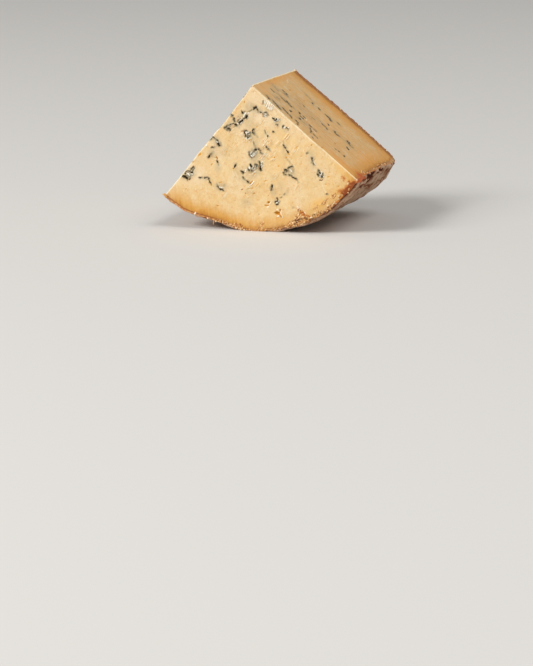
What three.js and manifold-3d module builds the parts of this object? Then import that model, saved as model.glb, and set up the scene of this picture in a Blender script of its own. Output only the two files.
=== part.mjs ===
// A quarter wedge of blue-veined cheese, cut from the top half of a drum and stood on its curved rind.
// Millimetres. +X runs across the front cut, +Y from the front cut back to the drum's flat top rind,
// +Z is up. The origin is at the foot of the wedge, under the middle of its bounding box.
import * as THREE from 'three';
import { mergeVertices } from 'three/addons/utils/BufferGeometryUtils.js';
import Module from 'manifold-3d';

// ---- The drum and the cuts ----
const DRUM_RADIUS = 91.5;
const THICKNESS = 99.2; // front cut to flat top rind
const AXIS_X = -7.9; // the drum's axis lies along Y
const AXIS_Z = 90.1; // a little under the radius, which leaves the flat spot that the wedge stands on
const FRONT_Y = -THICKNESS / 2;
const APEX_FROM_AXIS = { x: 2.56, z: 7.39 }; // where the two radial cuts meet
const LEFT_CORNER = -40.8; // degrees round the drum, from straight down, positive towards +X
const RIGHT_CORNER = 55.3;
const SHOULDER_RADIUS = 5.5; // between the curved rind and the flat top rind

// ---- The rind's slow swells: degrees round the drum, how far they spread, and their height ----
const HOLLOW = { at: -16, spread: 8.5, height: -3.9 }; // deepest at the front cut
const HOLLOW_REACH = 45; // how far back the hollow runs before it has died away
const BULGE = { at: 33, spread: 12, height: 1.6 };
const BACK_BULGE = { at: -22, spread: 16, height: 0.9 }; // these two grow towards the flat top rind
const RIGHT_BACK_BULGE = { at: 43, spread: 7, height: 2.4 };

// ---- Unevenness: [size of a bump, its height] ----
const RIND_BUMPS = [[17, 0.8], [7.5, 0.4]];
const CUT_SWELLS = [[26, 0.5], [9, 0.18]];
const RIND_DEPTH = 9; // the bumps of the rind die away this far inside it

// ---- The crumbled front arris of the rind ----
const CRUMBLE_FROM = 2; // degrees round the drum
const CRUMBLE_TO = 47;
const CRUMBLE_EASE = 7;
const CRUMBLE_DEPTH = 1.5;
const CRUMBLE_REACH = 3.4;
const CRUMB_SIZE = 4.2;

// ---- Mesh counts ----
const RAYS = 46; // across the apex angle
const STEPS = 21; // from the apex to the rind
const STRAIGHT_LAYERS = 17; // from the front cut to the shoulder
const SHOULDER_LAYERS = 3;
const LAYERS = STRAIGHT_LAYERS + SHOULDER_LAYERS;
const RIM_CROWDING = 0.35; // steps are this share shorter at the rind, and as much longer at the apex

// ---- Holes where the veins have opened: [across, up, length, width, depth, turn in degrees] ----
// On the front cut, across and up are measured from the apex.
const FRONT_HOLES = [
  // under the crest
  [2.3, -14.7, 3.4, 2.4, 1.8, 15], [9.2, -18.0, 4.0, 2.2, 1.2, -20], [16.7, -21.9, 3.6, 3.0, 2.6, 60],
  // the long crevice and its branch
  [-4.6, -20.6, 5.0, 2.2, 3.0, 62], [-8.0, -23.4, 5.0, 2.4, 3.2, 50], [-11.2, -26.4, 3.0, 2.4, 2.2, 20],
  [-16.6, -27.6, 4.8, 1.8, 1.8, 34],
  // the middle
  [-4.2, -32.2, 4.8, 1.8, 1.8, -62], [9.9, -31.5, 4.6, 1.5, 1.7, -60], [2.0, -42.6, 2.8, 2.2, 2.0, 0],
  [-1.6, -45.6, 3.6, 2.0, 1.8, 40], [5.7, -53.4, 7.4, 1.7, 2.6, 88], [-2.4, -55.0, 5.0, 1.8, 1.6, 68],
  [-1.6, -64.4, 4.8, 1.8, 1.8, 16], [-12.6, -54.0, 4.2, 1.3, 1.5, 72],
  // towards the left cut
  [-24.3, -50.4, 3.6, 1.5, 1.8, 88], [-29.3, -47.2, 5.8, 1.4, 1.7, 38], [-27.0, -35.4, 5.6, 1.5, 1.7, 10],
  [-46.9, -63.4, 6.2, 2.6, 3.2, 40], [-42.2, -58.6, 2.8, 1.9, 1.6, 30], [-29.0, -66.0, 4.6, 1.4, 1.5, 72],
  // towards the right cut
  [23.5, -41.1, 6.0, 1.7, 2.0, -60], [28.2, -53.6, 4.4, 2.0, 2.0, -50], [24.2, -57.6, 4.4, 2.0, 2.0, -20],
  [46.8, -56.2, 5.4, 2.6, 2.8, -58], [42.2, -48.2, 4.0, 1.4, 1.5, -75],
  // near the rind
  [17.3, -76.7, 3.2, 2.6, 2.4, 0], [10.7, -78.3, 3.0, 2.4, 2.0, 30], [17.7, -84.2, 4.4, 3.2, 2.6, 0],
];
// On the right cut, across runs from the apex towards the rind and up runs back from the front cut.
const RIGHT_HOLES = [
  [13.0, 4.4, 3.0, 1.8, 1.5, 20], [27.7, 8.0, 2.6, 2.0, 1.5, 0], [46.8, 14.3, 3.2, 2.0, 1.6, 40],
  [36.6, 24.5, 4.2, 1.8, 1.6, 80], [46.0, 20.4, 4.4, 1.8, 1.7, 5], [22.3, 25.2, 2.8, 1.8, 1.5, 0],
  [53.0, 39.0, 4.6, 1.8, 1.7, -50], [57.5, 46.4, 3.2, 2.2, 1.7, 0], [67.2, 48.4, 4.8, 2.2, 2.0, 80],
  [72.0, 43.0, 4.4, 2.0, 1.7, 75], [34.8, 66.0, 3.2, 1.8, 1.5, 10], [70.6, 20.2, 4.0, 1.8, 1.6, 10],
];
const HOLE_ROUGHNESS = 0.22;
const WIDE_HOLE = 2.1; // holes at least this wide get the finer blob

const radians = THREE.MathUtils.degToRad;
const smoothstep = THREE.MathUtils.smoothstep;

/** The point at an angle round the drum, a radius away from its axis. */
function onDrum(degrees, radius) {
  const angle = radians(degrees);
  return { x: AXIS_X + radius * Math.sin(angle), z: AXIS_Z - radius * Math.cos(angle) };
}

const APEX = { x: AXIS_X + APEX_FROM_AXIS.x, z: AXIS_Z + APEX_FROM_AXIS.z };

// ---- Repeatable noise ----

/** A fixed pseudo-random value from -1 to 1 for a lattice point. */
function latticeValue(i, j, k) {
  const wave = Math.sin(127.1 * i + 311.7 * j + 74.7 * k) * 43758.5453;
  return 2 * (wave - Math.floor(wave)) - 1;
}

/** Smooth noise from -1 to 1 with bumps of one size, different for each channel. */
function noise(point, size, channel) {
  const place = [point.x / size + 17 * channel, point.y / size, point.z / size];
  const base = place.map(Math.floor);
  const part = place.map((value, axis) => value - base[axis]);
  const ease = part.map((t) => t * t * (3 - 2 * t));
  let sum = 0;
  for (let corner = 0; corner < 8; corner += 1) {
    const step = [corner & 1, (corner >> 1) & 1, corner >> 2];
    const weight = step.reduce((product, on, axis) => product * (on ? ease[axis] : 1 - ease[axis]), 1);
    sum += weight * latticeValue(base[0] + step[0], base[1] + step[1], base[2] + step[2]);
  }
  return sum;
}

/** The sum of several sizes of bump. */
function bumps(point, sizesAndHeights, channel) {
  return sizesAndHeights.reduce((sum, [size, height]) => sum + height * noise(point, size, channel), 0);
}

// ---- The plain wedge ----

/** A swell's share at an angle round the drum. */
function swellAt(degrees, { at, spread, height }) {
  return height * Math.exp(-0.5 * ((degrees - at) / spread) ** 2);
}

/** The drum's radius at an angle, a depth behind the front cut. */
function drumRadius(degrees, depth) {
  const nearFront = 1 - smoothstep(depth, 0, HOLLOW_REACH);
  const nearBack = smoothstep(depth, HOLLOW_REACH, THICKNESS);
  const atFront = swellAt(degrees, HOLLOW) * nearFront;
  const atBack = (swellAt(degrees, BACK_BULGE) + swellAt(degrees, RIGHT_BACK_BULGE)) * nearBack;
  return DRUM_RADIUS + atFront + atBack + swellAt(degrees, BULGE);
}

/** How deep a layer lies, and how far the rounded shoulder has pulled its rim in. */
function layerAt(layer) {
  if (layer <= STRAIGHT_LAYERS) {
    return { depth: (layer / STRAIGHT_LAYERS) * (THICKNESS - SHOULDER_RADIUS), pull: 0 };
  }
  const turn = ((layer - STRAIGHT_LAYERS) / SHOULDER_LAYERS) * (Math.PI / 2);
  return {
    depth: THICKNESS - SHOULDER_RADIUS * (1 - Math.sin(turn)),
    pull: SHOULDER_RADIUS * (1 - Math.cos(turn)),
  };
}

/** The share of the way from the apex to the rind at a step. */
function stepShare(step) {
  const t = step / STEPS;
  return t * (1 + RIM_CROWDING - RIM_CROWDING * t);
}

/** A point of the plain wedge, before it is made uneven. */
function plainPoint(ray, step, layer) {
  const degrees = LEFT_CORNER + (ray / RAYS) * (RIGHT_CORNER - LEFT_CORNER);
  const { depth, pull } = layerAt(layer);
  const rim = onDrum(degrees, drumRadius(degrees, depth) - pull);
  const share = stepShare(step);
  return new THREE.Vector3(
    APEX.x + share * (rim.x - APEX.x),
    FRONT_Y + depth,
    APEX.z + share * (rim.z - APEX.z),
  );
}

// ---- Unevenness ----

/** How far a point has crumbled away from the front arris of the rind. */
function crumbled(point, degrees, underRind) {
  const along = smoothstep(degrees, CRUMBLE_FROM - CRUMBLE_EASE, CRUMBLE_FROM + CRUMBLE_EASE)
    * (1 - smoothstep(degrees, CRUMBLE_TO - CRUMBLE_EASE, CRUMBLE_TO + CRUMBLE_EASE));
  const away = Math.hypot(underRind, point.y - FRONT_Y) / CRUMBLE_REACH;
  const ragged = 0.6 + 0.4 * noise(point, CRUMB_SIZE, 7);
  return CRUMBLE_DEPTH * along * ragged * Math.exp(-away * away);
}

/** Moves a point of the plain wedge to where the real surface lies. */
function weathered(point) {
  const outward = new THREE.Vector3(point.x - AXIS_X, 0, point.z - AXIS_Z);
  const radius = outward.length();
  const degrees = THREE.MathUtils.radToDeg(Math.atan2(outward.x, -outward.z));
  outward.normalize();
  const underRind = Math.max(0, drumRadius(degrees, point.y - FRONT_Y) - radius);
  const rindShare = Math.exp(-underRind / RIND_DEPTH);
  const chip = crumbled(point, degrees, underRind);
  const moved = point.clone();
  moved.x += bumps(point, CUT_SWELLS, 1) * (1 - rindShare);
  moved.y += bumps(point, CUT_SWELLS, 2) + 0.7 * chip;
  moved.z += bumps(point, CUT_SWELLS, 3) * (1 - rindShare);
  moved.addScaledVector(outward, bumps(point, RIND_BUMPS, 4) * rindShare - chip);
  moved.z = Math.max(moved.z, 0);
  return moved;
}

// ---- Skin ----

/** The two triangles of every cell of a grid of points; cells that shrink to a line give one. */
function gridTriangles(columns, rows, at) {
  const corners = [];
  const add = (a, b, c) => {
    if (a.distanceToSquared(b) > 0 && b.distanceToSquared(c) > 0 && c.distanceToSquared(a) > 0) {
      corners.push(a, b, c);
    }
  };
  for (let i = 0; i < columns; i += 1) {
    for (let j = 0; j < rows; j += 1) {
      const [a, b, c, d] = [at(i, j), at(i + 1, j), at(i + 1, j + 1), at(i, j + 1)];
      add(a, b, c);
      add(a, c, d);
    }
  }
  return corners;
}

/** The closed skin of the uneven wedge: two fan-shaped faces, two radial cuts and the curved rind. */
function wedgeGeometry() {
  const at = (ray, step, layer) => weathered(plainPoint(step === 0 ? 0 : ray, step, layer));
  const corners = [
    ...gridTriangles(STEPS, RAYS, (step, ray) => at(ray, step, 0)),
    ...gridTriangles(RAYS, STEPS, (ray, step) => at(ray, step, LAYERS)),
    ...gridTriangles(LAYERS, STEPS, (layer, step) => at(0, step, layer)),
    ...gridTriangles(STEPS, LAYERS, (step, layer) => at(RAYS, step, layer)),
    ...gridTriangles(LAYERS, RAYS, (layer, ray) => at(ray, STEPS, layer)),
  ];
  return mergeVertices(new THREE.BufferGeometry().setFromPoints(corners), 1e-4);
}

// ---- Holes ----

/** The frame of the front cut: across, up, and out of the cheese. */
function frontCutFrame() {
  const frame = new THREE.Matrix4().makeBasis(
    new THREE.Vector3(1, 0, 0),
    new THREE.Vector3(0, 0, 1),
    new THREE.Vector3(0, -1, 0),
  );
  return frame.setPosition(APEX.x, FRONT_Y, APEX.z);
}

/** The frame of the right radial cut: from the apex to the rind, back, and out of the cheese. */
function rightCutFrame() {
  const corner = onDrum(RIGHT_CORNER, drumRadius(RIGHT_CORNER, 0));
  const along = new THREE.Vector3(corner.x - APEX.x, 0, corner.z - APEX.z).normalize();
  const back = new THREE.Vector3(0, 1, 0);
  const out = new THREE.Vector3().crossVectors(back, along).negate();
  const frame = new THREE.Matrix4().makeBasis(along, back, out);
  return frame.setPosition(APEX.x, FRONT_Y, APEX.z);
}

/** A ragged blob, which takes a hole out of a cut face. */
function holeGeometry([across, up, length, width, depth, turn], faceFrame) {
  const blob = new THREE.IcosahedronGeometry(1, width < WIDE_HOLE ? 0 : 1);
  blob.deleteAttribute('normal');
  blob.deleteAttribute('uv');
  const geometry = mergeVertices(blob, 1e-4);
  const position = geometry.getAttribute('position');
  const corner = new THREE.Vector3();
  for (let i = 0; i < position.count; i += 1) {
    corner.fromBufferAttribute(position, i);
    corner.multiplyScalar(1 + HOLE_ROUGHNESS * latticeValue(i, Math.round(across * 10), Math.round(up * 10)));
    position.setXYZ(i, corner.x, corner.y, corner.z);
  }
  geometry.scale(length / 2, width / 2, depth);
  geometry.rotateZ(radians(turn));
  geometry.translate(across, up, 0);
  return geometry.applyMatrix4(faceFrame);
}

const wasm = await Module();
wasm.setup();

/** A closed mesh as a solid that can be cut. */
function solidOf(geometry) {
  return new wasm.Manifold(new wasm.Mesh({
    numProp: 3,
    vertProperties: geometry.getAttribute('position').array,
    triVerts: Uint32Array.from(geometry.getIndex().array),
  }));
}

/** A solid's skin as a mesh again. */
function geometryOf(solid) {
  const mesh = solid.getMesh();
  const geometry = new THREE.BufferGeometry();
  geometry.setAttribute('position', new THREE.BufferAttribute(mesh.vertProperties, 3));
  geometry.setIndex(new THREE.BufferAttribute(mesh.triVerts, 1));
  geometry.computeVertexNormals();
  return geometry;
}

/** The uneven wedge with the holes of its veins cut into the two faces that have them. */
function holedWedge() {
  const holes = [
    ...FRONT_HOLES.map((hole) => holeGeometry(hole, frontCutFrame())),
    ...RIGHT_HOLES.map((hole) => holeGeometry(hole, rightCutFrame())),
  ];
  const cut = holes.map(solidOf).reduce((all, hole) => all.add(hole));
  return geometryOf(solidOf(wedgeGeometry()).subtract(cut));
}

// ---- The model ----
const paste = new THREE.MeshStandardMaterial({ color: 0xedd3a2, roughness: 0.62, metalness: 0 });
const wedge = new THREE.Mesh(holedWedge(), paste);
wedge.name = 'cheese_wedge';

const model = new THREE.Group();
model.add(wedge);

export default model;
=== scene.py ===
"""A quarter wedge of blue-veined cheese, stood on its curved rind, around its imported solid.

The skin is built from the same named sizes as the solid, in millimetres, with the veins, tears, crumbled
edges and wrinkled rind as real relief, and is then scaled to metres.
"""

import math

import bmesh
import bpy
import numpy as np
from mathutils import Euler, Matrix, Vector


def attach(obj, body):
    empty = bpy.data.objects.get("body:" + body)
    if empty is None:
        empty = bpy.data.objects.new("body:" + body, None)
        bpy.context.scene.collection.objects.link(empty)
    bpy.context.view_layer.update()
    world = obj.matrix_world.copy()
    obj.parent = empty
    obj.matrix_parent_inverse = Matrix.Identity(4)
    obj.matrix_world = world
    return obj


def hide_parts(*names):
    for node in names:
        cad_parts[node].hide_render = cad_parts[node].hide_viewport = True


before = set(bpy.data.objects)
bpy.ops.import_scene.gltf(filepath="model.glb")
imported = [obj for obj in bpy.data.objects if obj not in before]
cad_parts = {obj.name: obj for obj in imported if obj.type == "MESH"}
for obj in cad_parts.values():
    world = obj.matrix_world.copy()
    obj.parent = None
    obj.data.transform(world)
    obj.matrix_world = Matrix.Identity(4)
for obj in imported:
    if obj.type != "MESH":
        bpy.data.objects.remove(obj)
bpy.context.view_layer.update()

MM = 0.001
NODE = "cheese_wedge"

# ---- The drum and the cuts, in millimetres, as in the solid ----
DRUM_RADIUS = 91.5
THICKNESS = 99.2
AXIS_X = -7.9
AXIS_Z = 90.1
FRONT_Y = -THICKNESS / 2
APEX_X = AXIS_X + 2.56
APEX_Z = AXIS_Z + 7.39
LEFT_CORNER = -40.8  # degrees round the drum, from straight down
RIGHT_CORNER = 55.3
SHOULDER_RADIUS = 5.5
MIDDLE = np.array([0, 0, 45.0])  # the way in for the crumbs that are sunk into the skin

# Slow swells of the rind: degrees round the drum, spread, height
HOLLOW = (-16, 8.5, -3.9)
HOLLOW_REACH = 45
BULGE = (33, 12, 1.6)
BACK_BULGE = (-22, 16, 0.9)
RIGHT_BACK_BULGE = (43, 7, 2.4)

# Unevenness: (size of a bump, its height)
RIND_BUMPS = ((17, 0.8), (7.5, 0.4))
CUT_SWELLS = ((26, 0.5), (9, 0.18))
RIND_DEPTH = 9

# The crumbled front arris of the rind
CRUMBLE_FROM = 2
CRUMBLE_TO = 47
CRUMBLE_EASE = 7
CRUMBLE_DEPTH = 1.5
CRUMBLE_REACH = 3.4
CRUMBLE_BACK = 0.7  # how far a chip also runs back from the front cut, for each millimetre of depth
CRUMB_SIZE = 4.2

# ---- Mesh counts ----
RAYS = 400
STEPS = 270
STRAIGHT_LAYERS = 165
SHOULDER_LAYERS = 14
LAYERS = STRAIGHT_LAYERS + SHOULDER_LAYERS
RIM_CROWDING = 0.2
KEPT_TRIANGLES = 188_000
SPARED = ("vein", "pale", "olive", "brown", "amber")  # the marks whose points are all kept
SPARED_REACH = -0.7

# ---- Finer relief, in millimetres out of the cheese ----
LOW_LUMPS = ((4.4, 0.10), (1.9, 0.06))
TEAR_TURN = 52  # degrees: the way the knife tore the front cut
SPECKLES = ((0.75, 1.9, 0.95), (0.4, 0.9, 0.5))  # height, length, width
SCRATCH = (3.6, 0.6)  # length, width
TORN_HEIGHT = 0.5
HATCH_HEIGHT = 0.3
SCRATCH_HEIGHT = 0.03
PALE_HEIGHT = 0.4
LIP_HEIGHT = 0.16
LIP_SPREAD = 0.35
DRAG_LENGTH = 34  # how many times longer than wide the knife's drags are on the right cut
DRAGS = ((2.6, 0.10), (1.1, 0.06))
WRINKLES = ((5.4, 0.75), (2.6, 0.42))
TOP_WRINKLES = ((6.5, 0.34), (2.4, 0.22))
WRINKLE_SQUEEZE = np.array([0.55, 1.0, 0.55])  # below 1 draws the folds out
WRINKLE_BEND = (9.0, 2.6)  # size, height
WRINKLE_FALL = 2.6  # how steeply the folds fall away from their crests
# Small holes: how many, the corners of the area they lie in, seed
SIDE_PORES = (90, (-66, -48), (90, 42), 6)
TOP_PORES = (46, (-60, 4), (60, 90), 7)
CURD_DENTS = (70, (-62, -96), (70, 0), 5)
DENT_HALF = (0.3, 0.75)  # half their width, from the least to the most
DENT_DEPTH = (0.25, 0.8)
DENT_SQUEEZE = 1.4  # how many times wider than high they are
DENT_REACH = 5  # how far from its middle a hole can matter
SIDE_PORE_DEEPENING = 3.0
TOP_PORE_DEEPENING = 1.5

# ---- Arrises ----
ARRIS_EASE = 1.1  # the relief of a face dies away this near an arris
ARRIS_DEPTH = 0.22  # how far an arris is rounded in
ARRIS_WIDTH = 0.45
ARRIS_HIGHLIGHT_REACH = 0.65  # how far round an arris between two cuts the painted highlight reaches
NICK_DEPTH = 0.5
APEX_LIP = 0.5  # how far the knife's burr stands up along the apex arris
APEX_LIP_WIDTH = 0.7
CRUMBLING_SPREAD = 2.5
SIDE_CRUMBLING = 2.2
BACK_LIP = 0.5  # how far the flat rind's dry edge stands out of the cuts
BACK_LIP_WIDTH = 1.1
TOP_RIM_SHARE = 0.55  # a depth under the flat rind counts as this share of one under the curved rind
OCHRE_WIDTH = 6  # how far round its arris the right cut's stronger ochre reaches

# ---- How marks are laid on a cut ----
OUT_SHARE = 0.6  # how much of the way round an arris counts in a mark's distance
RAGGED = ((2.6, 0.3), (1.2, 0.25), (0.6, 0.12))  # how the marks' edges wander
CLOUD_RAGGED = ((7.0, 1.6), (3.0, 0.8))
FRAY = ((1.0, 0.3), (0.55, 0.2))  # how far bits of paste reach into the marks
DRAWN_FRAY = 7  # how many times longer those bits are on the right cut
PIT_SHIFT = 0.3  # how far a hole lies to the lower right of its dark mark, so that its lit lip stays pale
MARK_REACH = 14  # how far round a cut face its marks can be seen
LEFT_AREA = ((4, 88), (5, 94))  # along and back, where the left cut is marked
LEFT_MARKS = ("vein", "smudge", "pale", "olive", "amber")
SHALLOWEST = -5.0  # the value of a closeness field far from every mark
PATCH_END = 1.25  # where in its oval a patch has faded away
TORN_EDGE = 0.45  # where in its oval a torn patch starts to fade
CLOUD_EDGE = 0.1
RIND_PATCH_EDGES = (0.35, 1.0)  # where a patch of the rind starts to fade, and where it has faded away
RIND_PATCH_RAGGED = 0.3


# ---- Colours ----
def srgb(red, green, blue):
    """A linear colour from 0-255 screen values."""
    screen = np.array([red, green, blue]) / 255
    linear = np.where(screen <= 0.04045, screen / 12.92, ((screen + 0.055) / 1.055) ** 2.4)
    return (*linear.tolist(), 1.0)


PASTE = srgb(236, 207, 156)
PASTE_WARM = srgb(230, 189, 124)
PASTE_PALE = srgb(246, 226, 182)
PASTE_CREAM = srgb(240, 216, 177)
DRAGGED_PASTE = srgb(240, 190, 119)
OCHRE = srgb(216, 154, 52)
RIGHT_OCHRE = srgb(232, 164, 72)
DEEP_OCHRE = srgb(184, 120, 38)
GOLD = srgb(239, 189, 106)
RIGHT_GLOW = srgb(255, 178, 84)
UNDER_RIND = srgb(150, 88, 36)
RIND_EDGE = srgb(216, 152, 98)
BACK_EDGE = srgb(146, 82, 40)
CLOUD = srgb(174, 160, 128)
HALO = srgb(118, 110, 84)
TORN_GREY = srgb(160, 146, 114)
VEIN = srgb(60, 57, 41)
HOLE = srgb(18, 17, 12)
OLIVE = srgb(98, 84, 32)
AMBER = srgb(220, 156, 46)
BROWN = srgb(112, 60, 20)
# Pale curd, partly a painted highlight on torn lips and raised flecks
PALE_CURD_AND_HIGHLIGHT = srgb(255, 249, 230)
# Painted highlights along the arrises
ARRIS_HIGHLIGHT = srgb(255, 244, 214)
RIGHT_ARRIS_HIGHLIGHT = srgb(255, 218, 150)
APEX_ARRIS_HIGHLIGHT = srgb(255, 230, 182)
SOFT_RED = srgb(210, 128, 54)
RED_BROWN = srgb(142, 64, 18)
RIGHT_SALMON = srgb(232, 138, 62)
RIGHT_RED_LIP = srgb(208, 98, 36)
CRUMB_PALE = srgb(242, 209, 158)
CRUMB_OCHRE = srgb(206, 148, 80)
# Brown of crumbs, also painted shade in the gaps between crumbs
BROWN_CRUMB_AND_GAP_SHADE = srgb(142, 80, 32)
RIND_DUST = srgb(208, 172, 142)
RIND_TAN = srgb(146, 98, 62)
RIND_RUST = srgb(146, 80, 42)
# Painted shade in the rind's grooves
RIND_GROOVE_SHADE = srgb(58, 32, 16)
RIND_LIP_RED = srgb(214, 112, 66)
# Dark brown of the strongest stains: painted shade in the torn hollows, painted shadow under the front arris
HOLLOW_AND_SHADOW_BROWN = srgb(86, 38, 14)
PORE = srgb(48, 30, 22)
FLOOR = srgb(214, 211, 206)

# The ways marks are drawn out, in degrees about Y from X, as seen from the front
FALLS = 80
RIND_STREAKS = 84
RIGHT_TURN = 39.3  # the right cut's way to the rind

# ---- Studio ----
CAMERA_PLACE = (0.5973, -1.9349, 0.3332)
CAMERA_AZIMUTH = 17.45  # degrees to the right of the front cut
CAMERA_ELEVATION = 11.5
LENS = 162.2  # millimetres, on a 36 mm high sensor
SENSOR = 36
FLOOR_SIZE = 12
LIGHTS = (
    # name, way towards it, distance, size, power
    ("key", (-0.55, -0.62, 0.56), 4.0, 1.5, 134),
    ("top", (0.52, -0.12, 0.85), 4.0, 2.0, 54),
)
WORLD_LIGHT = 0.3
AIM = Vector((0, 0, 0.045))

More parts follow.
